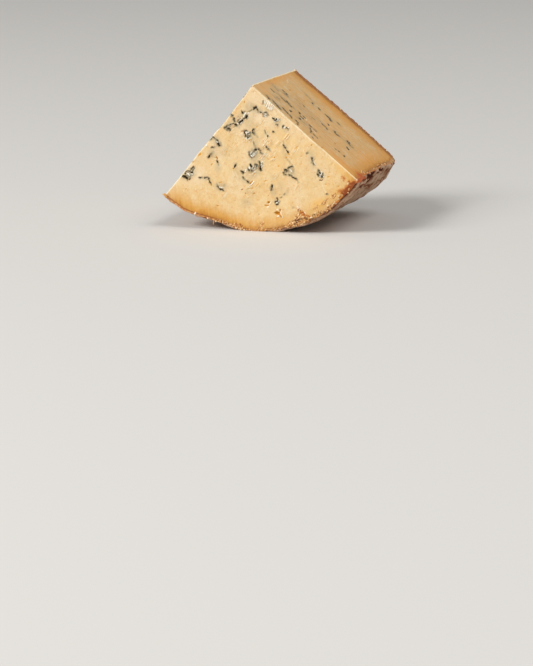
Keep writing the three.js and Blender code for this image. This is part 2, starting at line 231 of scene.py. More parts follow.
# ---- Lines on the front cut, in millimetres from the apex ----
# Dark veins and the holes in them: (width, depth, across, up, across, up, ...)
FRONT_VEINS = (
    # under the crest
    (1.5, 1.4, 0.9, -15.3, 2.4, -14.3), (1.1, 1, 2.5, -14.8, 3.3, -15.6),
    (0.6, 0.7, 3.4, -15.6, 4.1, -16.9), (1.1, 1.4, 5.5, -17.4, 6, -17.4), (0.7, 0.6, 8, -17.6, 10, -17.2),
    (0.6, 0.6, 7.4, -18.2, 7.9, -19.4), (0.6, 0.5, 10.6, -18, 11.3, -18.9),
    (0.6, 0.7, 7.9, -9.6, 7.5, -11.4), (1, 1.2, 14.6, -21, 15.2, -21.3),
    (1.2, 1.6, 15.8, -22.4, 16.9, -21.7), (0.5, 0.6, 18.4, -21.8, 18.8, -21.6),
    (0.9, 0.8, 17.1, -25.5, 17.7, -25.7), (0.7, 0.6, 21.3, -26.7, 21.8, -25.7),
    (0.8, 0.7, 23.8, -27.1, 24.7, -27.8), (0.8, 0.5, 14.4, -29.9, 14.9, -30.1),
    # the long crevice and its branches
    (1.3, 3, -3.7, -19.8, -4.6, -21.1), (1.3, 3, -7, -23.2, -8.6, -24.7),
    (0.6, 1, -4.9, -21.4, -6.2, -22.1), (0.9, 1, -7.5, -17.1, -6.7, -18.6),
    (0.8, 0.9, -6.6, -18.6, -5.4, -17.5), (0.6, 0.8, -8.4, -26.2, -9.3, -25.2),
    (0.5, 0.6, -9.6, -25, -10.1, -24.3), (1.2, 1.4, -11.7, -26, -10.7, -26.8),
    (0.5, 0.6, -12.9, -25.5, -14.8, -25.8), (0.8, 0.8, -14.8, -25.9, -15.6, -26.4),
    (0.8, 0.8, -16.8, -28.9, -15.9, -29.6, -15.6, -30.3), (0.5, 0.5, -16.9, -29.2, -17.4, -30.2),
    (0.8, 0.6, -19.4, -28.5, -18.4, -28, -17.5, -27.8), (0.9, 0.8, -15.2, -18.9, -14.9, -19.6),
    (0.6, 0.5, -14.6, -20.9, -13.6, -20.2), (1.1, 1, -13, -22.3, -12.8, -22.7),
    (0.5, 0.6, -12.5, -23.2, -12.1, -23.9),
    # the middle
    (0.9, 0.9, -5.9, -30.3, -4.7, -29.8, -3.9, -30.1), (0.7, 0.8, -5.6, -30.9, -4.9, -32.4, -4.3, -34),
    (0.7, 0.6, -3.3, -32.7, -2.6, -31.9), (0.5, 0.5, -2, -31.7, -1.2, -31.1),
    (1, 1.4, -3.4, -34.6, -2.6, -34.5), (0.6, 0.8, -2.2, -34.2, -1.4, -33.6),
    (1, 0.9, 1.3, -28.9, 0.3, -30, 0.6, -31.2, 1.2, -31.8), (0.8, 0.6, 10.5, -33, 10.9, -33.2),
    (1, 0.9, 9.7, -40, 10.1, -40.6), (0.9, 0.8, 11.2, -41.7, 11.6, -41.9),
    (1.2, 1.8, 1.7, -42.9, 2.6, -42.4), (0.7, 0.7, -2.2, -44.6, -1.8, -46.8),
    (0.7, 0.8, -0.5, -46, 0.2, -45.4), (0.6, 0.8, -1.6, -46.9, -0.4, -47.8),
    (0.5, 0.5, 1.6, -45.5, 2.8, -44.5), (0.8, 0.6, 4.3, -41.8, 5.4, -43.3),
    (0.6, 0.5, 5.8, -44.6, 7, -45.5), (1.1, 1, -1.2, -52.5, -0.8, -53.7),
    (0.8, 0.8, 2.2, -52.4, 3.2, -52.6), (0.7, 0.8, 2.8, -52.9, 2.7, -54.1),
    (0.6, 0.6, 3.4, -52.6, 3.9, -53.2), (0.9, 1.4, 4.9, -50.4, 5.3, -52),
    (0.7, 1.2, 5.1, -52.6, 5.5, -53.8), (1.2, 2, 5.2, -54.2, 5.4, -55.8),
    (0.5, 0.6, 0.6, -54.9, 1.4, -54.2), (0.9, 1, -0.7, -56.7, 0.2, -56.4),
    (0.8, 0.7, -2.9, -55.4, -2.3, -56.5), (1, 1, -7.4, -57.3, -6.1, -58.4),
    (0.5, 0.5, -6.2, -57.7, -5.6, -57.1), (0.6, 0.5, -6.2, -61.6, -5.6, -62.4),
    (1.2, 1.2, -3.2, -63.7, -2.7, -64.4), (0.6, 0.8, -11.6, -53, -12.8, -55),
    # towards the left cut
    (0.8, 0.8, -30, -37.2, -28.6, -36.2, -27.4, -35.1), (0.7, 0.9, -26.9, -35.1, -25.6, -36.2, -24, -37.5),
    (1.2, 1.4, -24, -39.2, -23.1, -40.5), (0.8, 0.6, -28.1, -42.4, -27.4, -42.2),
    (0.7, 0.8, -29.1, -46.5, -30, -47.6), (1.1, 1.3, -30.2, -47.9, -30.9, -48.8),
    (0.8, 1, -24.5, -51.2, -24.3, -52), (0.6, 0.6, -47, -59.4, -44.6, -59, -43.6, -58.6),
    (0.6, 0.8, -43.2, -57.6, -41.3, -55.7), (0.5, 0.6, -42, -58.5, -40.9, -56.7),
    (1.3, 1.4, -42.7, -59.7, -42.3, -59.7), (1, 1, -47.2, -60.4, -46.8, -60.6),
    (1.6, 2.6, -48.8, -62.2, -47.2, -62.6, -45.9, -63.7),
    (0.7, 0.8, -45.6, -65.2, -44.2, -64.2, -43.3, -63.4), (0.6, 0.5, -37.4, -62.9, -35.3, -62.7),
    (0.9, 0.9, -33.2, -62.9, -31.8, -62.7), (1.1, 1, -30.8, -62.9, -30.4, -63.5),
    (0.6, 0.8, -30.2, -64.4, -29.3, -66.4), (0.6, 0.6, -24.2, -68.2, -23, -69.2),
    (0.9, 0.9, -22.4, -70.3, -21, -70.1, -19.9, -70.9),
    # towards the right cut
    (0.6, 1.2, 21.6, -38.4, 23, -40.4, 24.2, -42.2), (1, 1.8, 24.4, -42.4, 25.1, -43.5),
    (0.8, 0.9, 25.2, -53.8, 26.4, -52.8, 27.8, -52.4), (1, 1, 22.8, -55.2, 23.5, -54.9, 24.3, -55.5),
    (0.8, 0.7, 21.8, -57, 22.6, -56.6), (0.7, 0.6, 22.3, -58, 23.5, -58.2),
    (0.8, 0.9, 25.6, -58.4, 27.4, -58.8), (1, 1.1, 28.2, -59.7, 29.4, -60.3, 30.1, -60.4),
    (1, 0.9, 41.3, -46.4, 41.7, -46.6), (0.5, 0.5, 41.7, -47.6, 41.6, -49.4),
    (1.2, 1.1, 42.8, -50.3, 43.2, -50.5), (0.8, 0.9, 46.4, -54.2, 46.7, -54.6),
    (0.7, 0.9, 46.5, -55.2, 47.2, -56.6), (1, 1.1, 45.4, -56.8, 46.2, -57.8),
    (1.3, 2.4, 48, -58, 48.6, -58.6), (0.7, 1.4, 49, -56.4, 49.1, -57.6),
    (0.9, 0.9, 51.6, -69.9, 52.2, -70.1), (1.1, 1.2, 13.6, -65.6, 13.3, -66.8),
    (0.5, 0.6, 13.3, -67.4, 13.4, -69),
    # near the rind
    (0.7, 0.8, 17.5, -74.5, 17.8, -75.5), (1, 1.3, 16.3, -76.8, 17.2, -76.5, 18, -76.2),
    (0.6, 0.8, 18.4, -77.4, 19, -76.7), (1, 1.4, 16.9, -78.5, 17.9, -78.4),
)
# Olive-brown threads with little depth, in the same form
FRONT_OLIVE = (
    (0.6, 0.4, 0.2, -15.6, -1.8, -16.8, -3.4, -17.5), (0.7, 0.5, -7.9, -16.7, -6.9, -17.8, -5.4, -17.4),
    (0.6, 0.3, -17.8, -27.5, -16, -26.6), (0.6, 0.4, 14, -11.4, 13.8, -12.6),
    (0.5, 0.4, 12.6, -14, 13.2, -13.5), (0.4, 0.3, 9.6, -10.8, 8.8, -13),
    (0.4, 0.3, 10.8, -11.6, 10, -13.6), (0.5, 0.3, 8.3, -29.4, 9.2, -31.2),
    (0.5, 0.4, 0.8, -37.8, 1.2, -38.8), (0.8, 0.3, 38, -43.3, 38.6, -43),
    (0.6, 0.4, 5.7, -56.6, 6.5, -55.8), (0.7, 0.2, 19.8, -74.2, 20.5, -73.5),
    (0.7, 0.2, 22.2, -71.8, 22.8, -71.2),
)
# Brown lines and vein ends
FRONT_BROWN = (
    (0.5, 0.8, -9.9, -23.4, -8, -22.3), (0.6, 0.6, -9.2, -26, -8.5, -25.5),
    (0.4, 0.3, 3.4, -18.1, 4.9, -18.2), (0.5, 0.6, 0.6, -57.9, 1.8, -56.9),
    (0.4, 0.3, -2.9, -58.5, -0.9, -58.4), (0.7, 0.5, -7.5, -69.6, -7.1, -69.6),
    (0.7, 0.5, -4.7, -72.4, -4.5, -72.2), (0.6, 0.6, -24.8, -49, -24.5, -50.2),
    (0.5, 0.4, -29.2, -66.6, -28.7, -67.7), (0.5, 0.3, -30.1, -37.7, -29.6, -37.2),
    (0.6, 0.4, 46.8, -60.6, 48.4, -61, 49.2, -59.8), (1, 0.7, 30, -88.3, 31.2, -90.4),
    (1, 0.7, 31, -88.7, 34.5, -87.6), (0.9, 0.6, 29.2, -92, 30.2, -90.4),
    (1.1, 0.6, 37.2, -87.8, 38.2, -87.4), (0.8, 0.5, 37.4, -89.6, 38.8, -89.2),
    (0.8, 0.5, 39.2, -88.6, 41, -87.6), (0.7, 0.5, 36.6, -86.5, 38.2, -86.7),
    (1.1, 0.5, 42.6, -84.7, 43.8, -84.2), (1, 0.5, 46.9, -83.3, 47.8, -83),
    (0.9, 0.5, 24.2, -93.3, 26.6, -93.4), (0.8, 0.5, 45.6, -84.7, 46, -84.5),
    (0.8, 0.4, 49.4, -82.6, 50, -82.2), (0.8, 0.4, 29.4, -91.6, 32.6, -91.5),
    (0.7, 0.4, 52, -79.4, 52.6, -78.9),
)
# Ochre holes and amber freckles
FRONT_AMBER = (
    (2.3, 1.9, 17.2, -84.4, 18.2, -84.7), (1, 1.2, 15.8, -83.9, 17.4, -83.8),
    (1, 1.2, 18.8, -85.2, 20, -87), (1, 0.9, 19, -81.9, 19.3, -83.2), (1.3, 1.2, 10.8, -77.7, 11.5, -76.9),
    (1, 1, 8.5, -79.8, 11, -79.5), (0.8, 0.9, -1.8, -36.6, -0.4, -35.6),
    (0.8, 1, -1.9, -65.4, -0.9, -64.6, 0.2, -63.7), (0.5, 0.4, -4.2, -37.8, -2.9, -37.1),
    (0.5, 0.3, -2.9, -69.3, 0.2, -68.2), (0.9, 0.6, -25, -48.2, -24.6, -49.6),
    (0.7, 0.4, -29, -67, -28.5, -68.2), (0.7, 0.4, 25.2, -44, 25.6, -44.8),
    (1.8, 0.2, -37.2, -47.6, -36.6, -47.2), (1.3, 0.3, -41.9, -53, -41.4, -52.7),
    (1, 0.4, -24.6, -81.5, -24, -81.4), (0.8, 0.3, -46.4, -71, -46, -70.9),
    (0.7, 0.3, -18, -45.3, -17.9, -44.8), (1, 0.2, -28.8, -53.9, -28.4, -53.5),
    (0.6, 0.3, -23, -65.8, -21.4, -65.2), (0.8, 0.2, -5.4, -11.2, -5.2, -10.4),
    (0.8, 0.5, -13.2, -55.4, -13.3, -56.2), (1, 0.3, 23.8, -47.3, 24, -47),
    (1, 0.4, 15.2, -47.4, 15.4, -47.1), (0.5, 0.3, 2.6, -27.8, 4, -26.6),
    (0.5, 0.3, 9.7, -37.6, 11.6, -35.8), (0.5, 0.3, 11.2, -39.4, 13.6, -37),
    (0.5, 0.3, 7.6, -46.6, 9.2, -45.4), (0.5, 0.3, 22.8, -34.6, 24.8, -32.2),
    (1.2, 0.2, 41.2, -37.7, 41.8, -37.5), (1.2, 0.3, 47.9, -39.3, 48.4, -39),
    (1, 0.2, 52.5, -58.7, 53.2, -58.4), (0.9, 0.2, 18.1, -52.9, 18.5, -52.5),
    (0.8, 0.3, 8.6, -63.4, 9.6, -62.8), (1.2, 0.5, 34.2, -82.9, 35.5, -83.2),
    (0.7, 0.4, 34.7, -84.8, 36.4, -84.9, 37.3, -85.4), (0.8, 0.5, 38.5, -85, 40.6, -86.6),
    (1.2, 0.3, 59.4, -74.4, 61.4, -72.6, 63.6, -71.2),
)
# Faint pale lines that the knife scored
FRONT_SCORED = (
    (0.6, 0.1, -12.9, -58.2, -12.4, -60.6, -10.9, -63.8, -8.8, -67),
    (0.5, 0.1, -11.6, -57.6, -11.2, -59.8, -9.8, -62.6), (0.5, 0.1, -13.7, -57.6, -13.5, -60, -12.3, -63),
    (0.5, 0.1, 43.4, -51.6, 44, -56, 45.6, -61), (0.5, 0.1, 48.5, -62.1, 50.6, -68.7),
    (0.6, 0.1, -9.4, -71.4, -8, -70.2), (0.6, 0.1, -2.4, -68.2, 0, -67),
    (0.6, 0.1, 9.2, -64.6, 10.4, -63.6), (0.5, 0.1, -2.4, -59.4, 1.8, -58.8),
    (0.5, 0.1, 28.2, -45.6, 30.4, -43), (0.5, 0.1, -6, -38.6, -3.6, -36.4),
    (0.5, 0.1, 13.2, -49.4, 15.8, -46.8),
)
# Faint grey smudges beside the veins, flush with the paste: (width, across, up, across, up, ...)
FRONT_SMUDGES = (
    (1.4, -15.4, -18.6, -14.4, -20.6, -13, -22.4, -12.2, -24.2), (1.2, -17.8, -27.6, -15.8, -26.6),
    (2, -19, -28.4, -17, -29, -16, -30), (0.8, -9.7, -27.4, -8.8, -28.8), (1.6, 7.6, -18.6, 10.6, -18),
    (1.2, 8.4, -19.6, 10.4, -19.4), (1.4, 16, -22.6, 17.4, -21.8), (1.2, 21.2, -26.4, 24.8, -27.8),
    (0.9, 14.2, -30.2, 15.2, -29.8), (0.7, 8.2, -29.4, 9.2, -31.2, 10.6, -33),
    (1.4, -5.4, -30.4, -4.4, -33.8), (1.8, -3.6, -32.8, -1.6, -31.6),
    (1.8, 1.2, -29.2, 0.6, -30.6, 1.6, -32), (1, 1.8, -31.6, 3.8, -33.8), (0.9, 0.8, -37.6, 1.2, -38.8),
    (1.4, 1.4, -39.6, 2.4, -41.6), (1.6, 4.4, -42, 5.4, -43.4), (1.4, 5.8, -44.4, 7.2, -45.6),
    (2, -2, -44.6, -1.6, -46.6), (2.4, 0.4, -43.4, -0.4, -46.2),
    (1.2, 9.7, -39.8, 11.6, -42.2, 12.8, -43.2), (1.8, -1.1, -52.6, -0.9, -53.8),
    (2.2, 2.4, -52.6, 3.2, -53.8), (1.6, -2.8, -55.4, -2.2, -56.6), (2, 0.2, -55.4, -0.4, -56.6),
    (1.6, -7.4, -57.4, -6, -58.2), (1, -6.2, -61.4, -4.6, -63), (1.6, 5.4, -50.6, 6.6, -52.2),
    (1.4, 5.8, -53.6, 6.4, -55.8), (0.9, -11.2, -52.2, -12.4, -54), (1.2, -30, -37.2, -27.6, -35.4),
    (1.4, -24.4, -37.8, -23, -40.4), (1.2, -22.2, -38.6, -21.4, -41), (1.2, -28.4, -42.4, -25.4, -41.8),
    (1.2, -29.4, -46.8, -27.2, -45.6), (1, -24.4, -51.2, -23.8, -53.6), (2.6, -45, -62, -42.4, -60.8),
    (1.4, -42.8, -57.6, -41.2, -56.4), (1.2, -47, -59.6, -44.4, -59.2), (0.7, -38, -62.9, -34.8, -62.8),
    (1, -24.8, -66.4, -24.2, -68.2), (1.4, -23.4, -68.8, -20.6, -70.6), (1, -19.6, -67.8, -18.8, -66.8),
    (0.9, 24.4, -47.8, 26.8, -50.4), (2, 22.4, -56.8, 24, -55.4),
    (1.4, 25.4, -53.6, 28.2, -52.6, 28.6, -56), (1, 30.6, -61, 32.4, -63.4), (0.8, 21.6, -36.4, 22, -38.4),
    (1.1, 38, -43.4, 38.8, -43), (1.2, 41.6, -46.4, 42, -49.4), (1.4, 46.2, -54.6, 46.6, -57.6),
    (1.4, 13.3, -66.8, 13.5, -69), (2, 16.4, -77, 17.4, -77.4), (1, 28.6, -80.4, 29.3, -79.9),
)
# White torn lips and flecks, partly pale curd and partly painted highlight, in the same form as the smudges
FRONT_PALE = (
    # in the crevice
    (0.6, -5, -17.9, -5.5, -20), (0.4, -4.3, -18.2, -6.2, -21), (0.5, -2.6, -18.4, -2.8, -19.8),
    (0.4, -2.9, -20.6, -4.4, -22.3), (0.3, -7.2, -21.9, -9, -23.5), (0.5, -6.8, -24.2, -8.5, -26.3),
    (0.4, -10.2, -25.2, -9.6, -26),
    # where the knife tore the crest
    (0.5, 9.2, -8.8, 8.2, -11), (0.4, 10, -9.4, 8.4, -12.8), (0.8, 11.6, -9, 9.8, -13.8),
    (0.7, 12.8, -10.2, 11.2, -14.6), (0.7, 14, -11.4, 12.4, -15.2), (0.5, 14.8, -12.4, 13.6, -15.2),
    # beside the veins
    (0.6, 9, -18.2, 9.8, -18.6), (0.5, 8.2, -19.4, 10, -20), (0.7, 17.1, -22.6, 18, -21.4),
    (0.4, 18.8, -22.4, 19.2, -21.6), (0.4, 15.4, -23.2, 16.2, -22.8), (0.5, 25, -27.2, 25.5, -26.8),
    (0.4, 22.4, -27.2, 22.8, -26.6), (0.7, -4.4, -31, -4, -32.4), (0.5, -2.8, -31.6, -2.2, -30.8),
    (0.5, -4.2, -35, -3.8, -35.7), (0.6, -2.7, -35.4, -1.8, -35.2), (0.4, -1.4, -36.9, 0, -36.2),
    (0.4, -1.3, -45.4, 0.8, -43.8), (0.5, -0.6, -46.6, 2.9, -44), (0.4, 0.4, -47, 3, -45.2),
    (0.4, -1.2, -48.6, 0, -48.4), (0.4, 6.2, -51.2, 7, -50.2), (0.4, 6.2, -52.9, 7.2, -51.9),
    (0.4, 6.4, -54.4, 7.4, -53.4), (0.5, -0.3, -55, 0.8, -53.9), (0.5, 0.3, -56.2, 1.7, -55),
    (0.5, -2.2, -55.2, -1, -55), (0.4, -4.6, -57.6, -4.2, -56.2), (0.5, 0.4, -58.5, 2.3, -57.3),
    (0.6, -1.4, -66.1, 1.1, -64.2), (0.4, -8.2, -69.2, -7.8, -68.9), (0.7, -45.4, -60.4, -44, -61.6),
    (0.6, -43, -60.6, -41.8, -61), (0.6, -24.4, -38.4, -24, -39), (0.5, -22.6, -68.6, -20.8, -69),
    (0.6, -32, -41.4, -31.6, -40.4), (0.6, 26.6, -55.2, 27.4, -56.2), (0.6, 47.7, -57.4, 48.6, -55.9),
    (0.6, 47, -58.2, 47.4, -58.7), (0.4, 49.7, -57, 49.4, -59), (0.4, 43.6, -49.2, 44, -50.6),
    (0.7, 18.4, -76.3, 18.6, -76.6), (0.8, 17, -77.4, 17.4, -77.4),
    # beside the ochre holes and the crumbled patch
    (0.5, 12.2, -77, 12.1, -78.3), (0.5, 11.1, -80.3, 11.6, -80),
    (0.5, 19.9, -83, 20.4, -85.4, 20.9, -87.3), (0.6, 17.9, -86.8, 18.4, -86.5),
    (0.6, 17.3, -82.4, 17.7, -82.2), (0.7, 31.6, -79.7, 32, -80), (0.8, 32.8, -81.3, 33, -81.8),
    (0.6, 33, -84.8, 33, -86.8), (0.6, 36.4, -83, 36.6, -83.6), (0.7, 41.2, -86.8, 41.5, -86.5),
    (0.6, 34.8, -90.4, 36.2, -89.6),
)

# ---- Patches on the front cut: (across, up, half length, half width, turn in degrees, strength) ----
# Torn, speckled patches
FRONT_TORN = (
    (9.2, -18.8, 2.6, 1.4, -10, 0.4), (16.9, -22.2, 2.2, 1.2, 35, 0.6), (-5.2, -20.2, 3, 1.6, 52, 0.4),
    (-8.4, -24.4, 2.4, 1.1, 52, 0.4), (-17.2, -29, 2.2, 1.4, -20, 0.6), (-3.4, -32.4, 3, 2, -62, 0.7),
    (0.2, -45.6, 3.2, 2.4, 45, 0.8), (0.8, -54.9, 4, 2.2, 25, 0.75), (6.2, -53.2, 3.2, 0.9, 85, 0.6),
    (-6.4, -57.8, 1.6, 1, 0, 0.5), (-3.2, -63.6, 2, 1, -35, 0.4), (-24.2, -38.6, 2.4, 1.2, -60, 0.6),
    (-44, -60.8, 3, 2, 20, 0.7), (-22, -69.4, 2.6, 1.2, -25, 0.6), (25.6, -56.2, 3.2, 2.4, -25, 0.35),
    (47.4, -57.2, 2.6, 1.6, -65, 0.8), (17.6, -77.2, 1.7, 1.5, 0, 0.6),
)
# Soft grey-green clouds
FRONT_CLOUDS = (
    (2, -16, 8, 4.5, -12, 0.5), (12, -13, 6, 4, 55, 0.5), (-8, -22.5, 9, 4.5, 48, 0.5),
    (-16, -27, 5, 3.5, 20, 0.5), (-2, -32, 6.5, 4.5, 0, 0.5), (2.5, -46.5, 6.5, 8.5, 0, 0.55),
    (3, -38, 4, 5, 0, 0.3), (1, -56, 8.5, 5.5, 10, 0.5), (-5, -62.5, 5, 3.5, -40, 0.35),
    (-25, -38, 6.5, 3.5, -45, 0.5), (-28, -45, 4.5, 4, 0, 0.4), (-23.5, -55, 2.5, 4.5, 10, 0.4),
    (-12, -54, 2.4, 4, 0, 0.35), (-44, -61, 6.5, 4.5, 40, 0.5), (-32, -63.5, 6, 2.5, 0, 0.35),
    (-21.5, -68.5, 5, 4, 0, 0.45), (-5, -78.5, 6, 4, 0, 0.3), (17.5, -24, 4, 4.5, 0, 0.35),
    (23, -28, 4, 3, 0, 0.3), (22.5, -40, 2.5, 5.5, -25, 0.35), (26.5, -57, 6, 5, -20, 0.45),
    (42, -47, 3.5, 7.5, 12, 0.4), (46.5, -57, 4, 4.5, 0, 0.3), (14.5, -70, 3, 6.5, 10, 0.4),
    (17, -77, 3.5, 3, 0, 0.35), (24, -71, 6, 1.8, 25, 0.35), (10, -32, 2, 3, 20, 0.3),
    (-3, -24, 6, 4, 30, 0.3), (-11.5, -28, 3, 3, 0, 0.35), (2, -27, 3, 3, 0, 0.3),
    (24, -45, 2.6, 3.6, 0, 0.3), (-20, -44, 5, 8, 30, 0.22), (-10, -58, 6, 5, 0, 0.25),
    (8.5, -44.5, 4.5, 7, 0, 0.28), (15, -61.5, 4, 4, 0, 0.22), (34.5, -35.5, 4, 3, 0, 0.15),
    (-2, -71.5, 5, 3.5, 0, 0.2), (20, -67.5, 4, 4, 0, 0.2),
)
# Paler, less yellow paste
FRONT_LIGHT = (
    (2, -6, 12, 12, 0, 1), (6, -20, 17, 8, -25, 0.95), (24, -24, 22, 6, -39, 0.8),
    (-10, -27, 9, 9, 40, 0.7), (-26, -42, 7, 15, 15, 0.7), (-40, -61, 13, 8, 40, 0.9),
    (0, -48, 10, 16, 0, 0.5), (44, -52, 14, 9, -45, 0.5), (27, -64, 9, 14, -20, 0.5),
    (32, -76, 4, 6, 0, 0.7), (-12, -68, 14, 8, 0, 0.35), (12, -34, 8, 8, 0, 0.4), (-56, -71, 9, 5, 45, 0.5),
)
# Short parallel scratches where the knife chattered
FRONT_HATCH = (
    (9, -36, 3.4, 1.8, 52, 0.6), (8, -40, 2.6, 1.6, 50, 0.6), (18, -38, 3, 1.4, 50, 0.5),
    (6.6, -47.4, 3.2, 1.8, 38, 0.6), (14.6, -48, 3, 1.6, 45, 0.5), (-8, -33.4, 3.6, 1.4, 30, 0.4),
    (-1.6, -36.6, 3.2, 1.7, 40, 0.5), (24, -33.6, 3.6, 2, 55, 0.5), (12.4, -37.4, 3.2, 2.2, 50, 0.7),
    (9.6, -45.2, 3.4, 1.5, 42, 0.7), (-0.6, -66.4, 3.4, 1.7, 35, 0.4), (1.4, -59, 4.4, 2, 35, 0.3),
    (2.6, -29, 2.8, 1.6, 52, 0.4), (12.6, -12.2, 3, 2, 60, 0.35), (-2, -67.6, 4, 1.4, 35, 0.5),
    (14.4, -44.6, 4.2, 2.4, 50, 0.4), (5, -66, 4, 2, 30, 0.4), (-20, -75, 6, 3, 60, 0.3),
    (32, -66, 6, 3.5, 35, 0.3), (-12, -41, 6, 4, 65, 0.3), (17, -59.5, 4, 3, 40, 0.4),
    (30, -41, 5, 3, 55, 0.35), (7, -23, 4, 2.4, 50, 0.35), (-19, -46, 7, 3, 80, 0.3),
    (-15, -30, 6, 3, 55, 0.3), (-2, -73, 6, 3, 40, 0.3),
)
# Crumbled patches by the rind
FRONT_CRUMBLED = (
    (34.6, -83.2, 3.6, 1.5, -48, 0.9), (37.6, -86.4, 3.4, 1.6, -48, 0.9), (31.6, -88.6, 4.6, 1.6, 20, 0.9),
    (39.6, -88.4, 3.6, 1.8, 35, 0.9), (32.4, -81.6, 1.6, 1, 60, 0.7), (7, -92, 2.2, 1, 40, 0.7),
    (6, -95.2, 3, 1.2, 40, 0.7), (-10, -93.6, 4.4, 1.4, -10, 0.6), (61.2, -73.6, 1.6, 1.1, 45, 0.8),
    (-26.6, -91.6, 3, 1.2, -25, 0.6), (27.4, -90.6, 3, 1.6, 20, 0.8), (33.4, -86, 4.6, 2.6, 10, 0.8),
    (44, -79.6, 4.4, 1.4, 40, 0.42), (50.4, -75.4, 4.4, 1.6, 40, 0.45), (56.6, -71, 3.4, 1.8, 45, 0.5),
)
# The red-brown torn corner by the rind
FRONT_RED = (
    (63.4, -59.2, 2.3, 0.9, -50, 0.8), (66.4, -60.6, 2.3, 1, -15, 0.9), (70, -62.2, 3, 1.7, 62, 1.3),
    (68.2, -63.8, 3.2, 2.6, 55, 0.95), (66.4, -66, 3.4, 2.8, 40, 0.95), (64.8, -68.6, 3.9, 2.8, 20, 1.3),
    (62, -68, 3.2, 2.6, 0, 0.5), (62.6, -72.4, 4.4, 1.5, 48, 0.5), (58, -75.6, 3.6, 1.2, 45, 0.35),
    (35, -83.2, 1.8, 1.1, -10, 0.5), (36, -85, 2.2, 0.9, -12, 0.45), (39.6, -85.8, 2.2, 1, -40, 0.5),
)
# Golden paste round that corner
FRONT_GOLD = (
    (64, -53.4, 13, 5, -39, 0.95), (57, -70, 9, 4, 45, 0.8), (46, -77, 9, 5, 30, 1),
    (20, -89, 9, 4, 8, 0.5), (54, -64, 5, 9, -30, 0.3),
)

# ---- The same marks on the right cut, along from the apex and back from the front cut ----
RIGHT_VEINS = (
    (1.3, 0.6, 12.9, 3.6, 13.6, 3.4), (1, 0.5, 11.2, 4.8, 11.9, 4.4), (1.3, 0.6, 16.8, 5.8, 18.6, 5.2),
    (1, 0.4, 20.4, 4.2, 24, 3.6), (1, 0.4, 24, 9.2, 28.8, 8), (0.9, 0.4, 31, 8.4, 33.6, 5.8),
    (1.5, 0.7, 36.4, 8, 38.2, 7.8), (0.9, 0.5, 38.6, 6.8, 39.4, 4), (1.3, 0.7, 28.2, 15.4, 28.6, 17.2),
    (1.1, 0.5, 36.2, 17.2, 36.8, 16.4), (1.5, 0.8, 32, 26.6, 32.4, 25.6),
    (1.1, 0.6, 34.4, 22.2, 35.4, 21.8), (1.1, 0.6, 36.8, 22.8, 37.2, 21.6),
    (1.2, 0.6, 35.2, 26.6, 37, 26.2), (1.1, 0.5, 20.6, 26, 21.6, 25.4), (0.9, 0.3, 22.4, 24.8, 25.4, 24),
    (0.9, 0.3, 16.8, 23.6, 20.6, 23.2), (1, 0.3, 7.4, 23.2, 10.4, 22.2), (1.3, 0.8, 43.2, 20.8, 45, 20.2),
    (1.1, 0.6, 47.6, 20.4, 49.8, 19.4), (1.2, 0.7, 46, 16, 47.8, 13.8), (0.7, 0.4, 48, 12.6, 48.8, 9.4),
    (1, 0.4, 50.4, 11.6, 51.6, 11.2), (0.7, 0.3, 52.6, 11.4, 54.2, 11.2), (1.1, 0.5, 46.4, 43.8, 47, 43.4),
    (1.3, 0.7, 48.2, 43.8, 49.2, 43.4), (1.1, 0.5, 50.6, 42.2, 51.6, 41.4),
    (1.2, 0.6, 55.6, 49.2, 56, 47.8), (1, 0.5, 56.8, 46.4, 58, 46, 59.8, 47),
    (1.6, 1.1, 65.8, 51.2, 66.2, 50), (1.6, 1.1, 67.5, 50.8, 67.9, 49.8),
    (1.1, 0.7, 68.8, 48.6, 69.3, 47.4), (1.3, 0.7, 70, 39.8, 70.8, 39.4), (1.3, 0.7, 71.4, 39, 72, 38.8),
    (0.9, 0.4, 71.2, 47, 72, 47.6), (1.2, 0.6, 74.3, 21, 74.8, 20.2), (0.9, 0.4, 67.2, 18.8, 68, 18.4),
    (0.9, 0.4, 69.6, 20.4, 70.2, 20.4), (0.9, 0.5, 28, 48, 28.8, 47.6), (1.1, 0.5, 34.2, 67, 35.6, 66.2),
    (1, 0.4, 28.8, 66, 29.4, 64.4), (1.3, 0.5, 45, 65.8, 46.4, 63.4), (0.9, 0.3, 41.2, 65.8, 44, 65.6),
    (1, 0.4, 50.2, 70.8, 51.8, 70.2), (1, 0.5, 48.4, 52.4, 49, 51.6), (0.9, 0.3, 15, 40.6, 15.6, 39.4),
    (0.7, 0.3, 11.4, 40.9, 12.6, 40.3), (0.9, 0.3, 52.2, 5.4, 52.8, 4.8),
)
RIGHT_AMBER = (
    (1.3, 0.3, 63.4, 28.8, 64.2, 27.6), (0.9, 0.2, 13, 51, 13.4, 53), (1.1, 0.2, 62, 0.6, 62.2, 2),
    (0.8, 0.3, 24.6, 56.6, 25.2, 58),
)
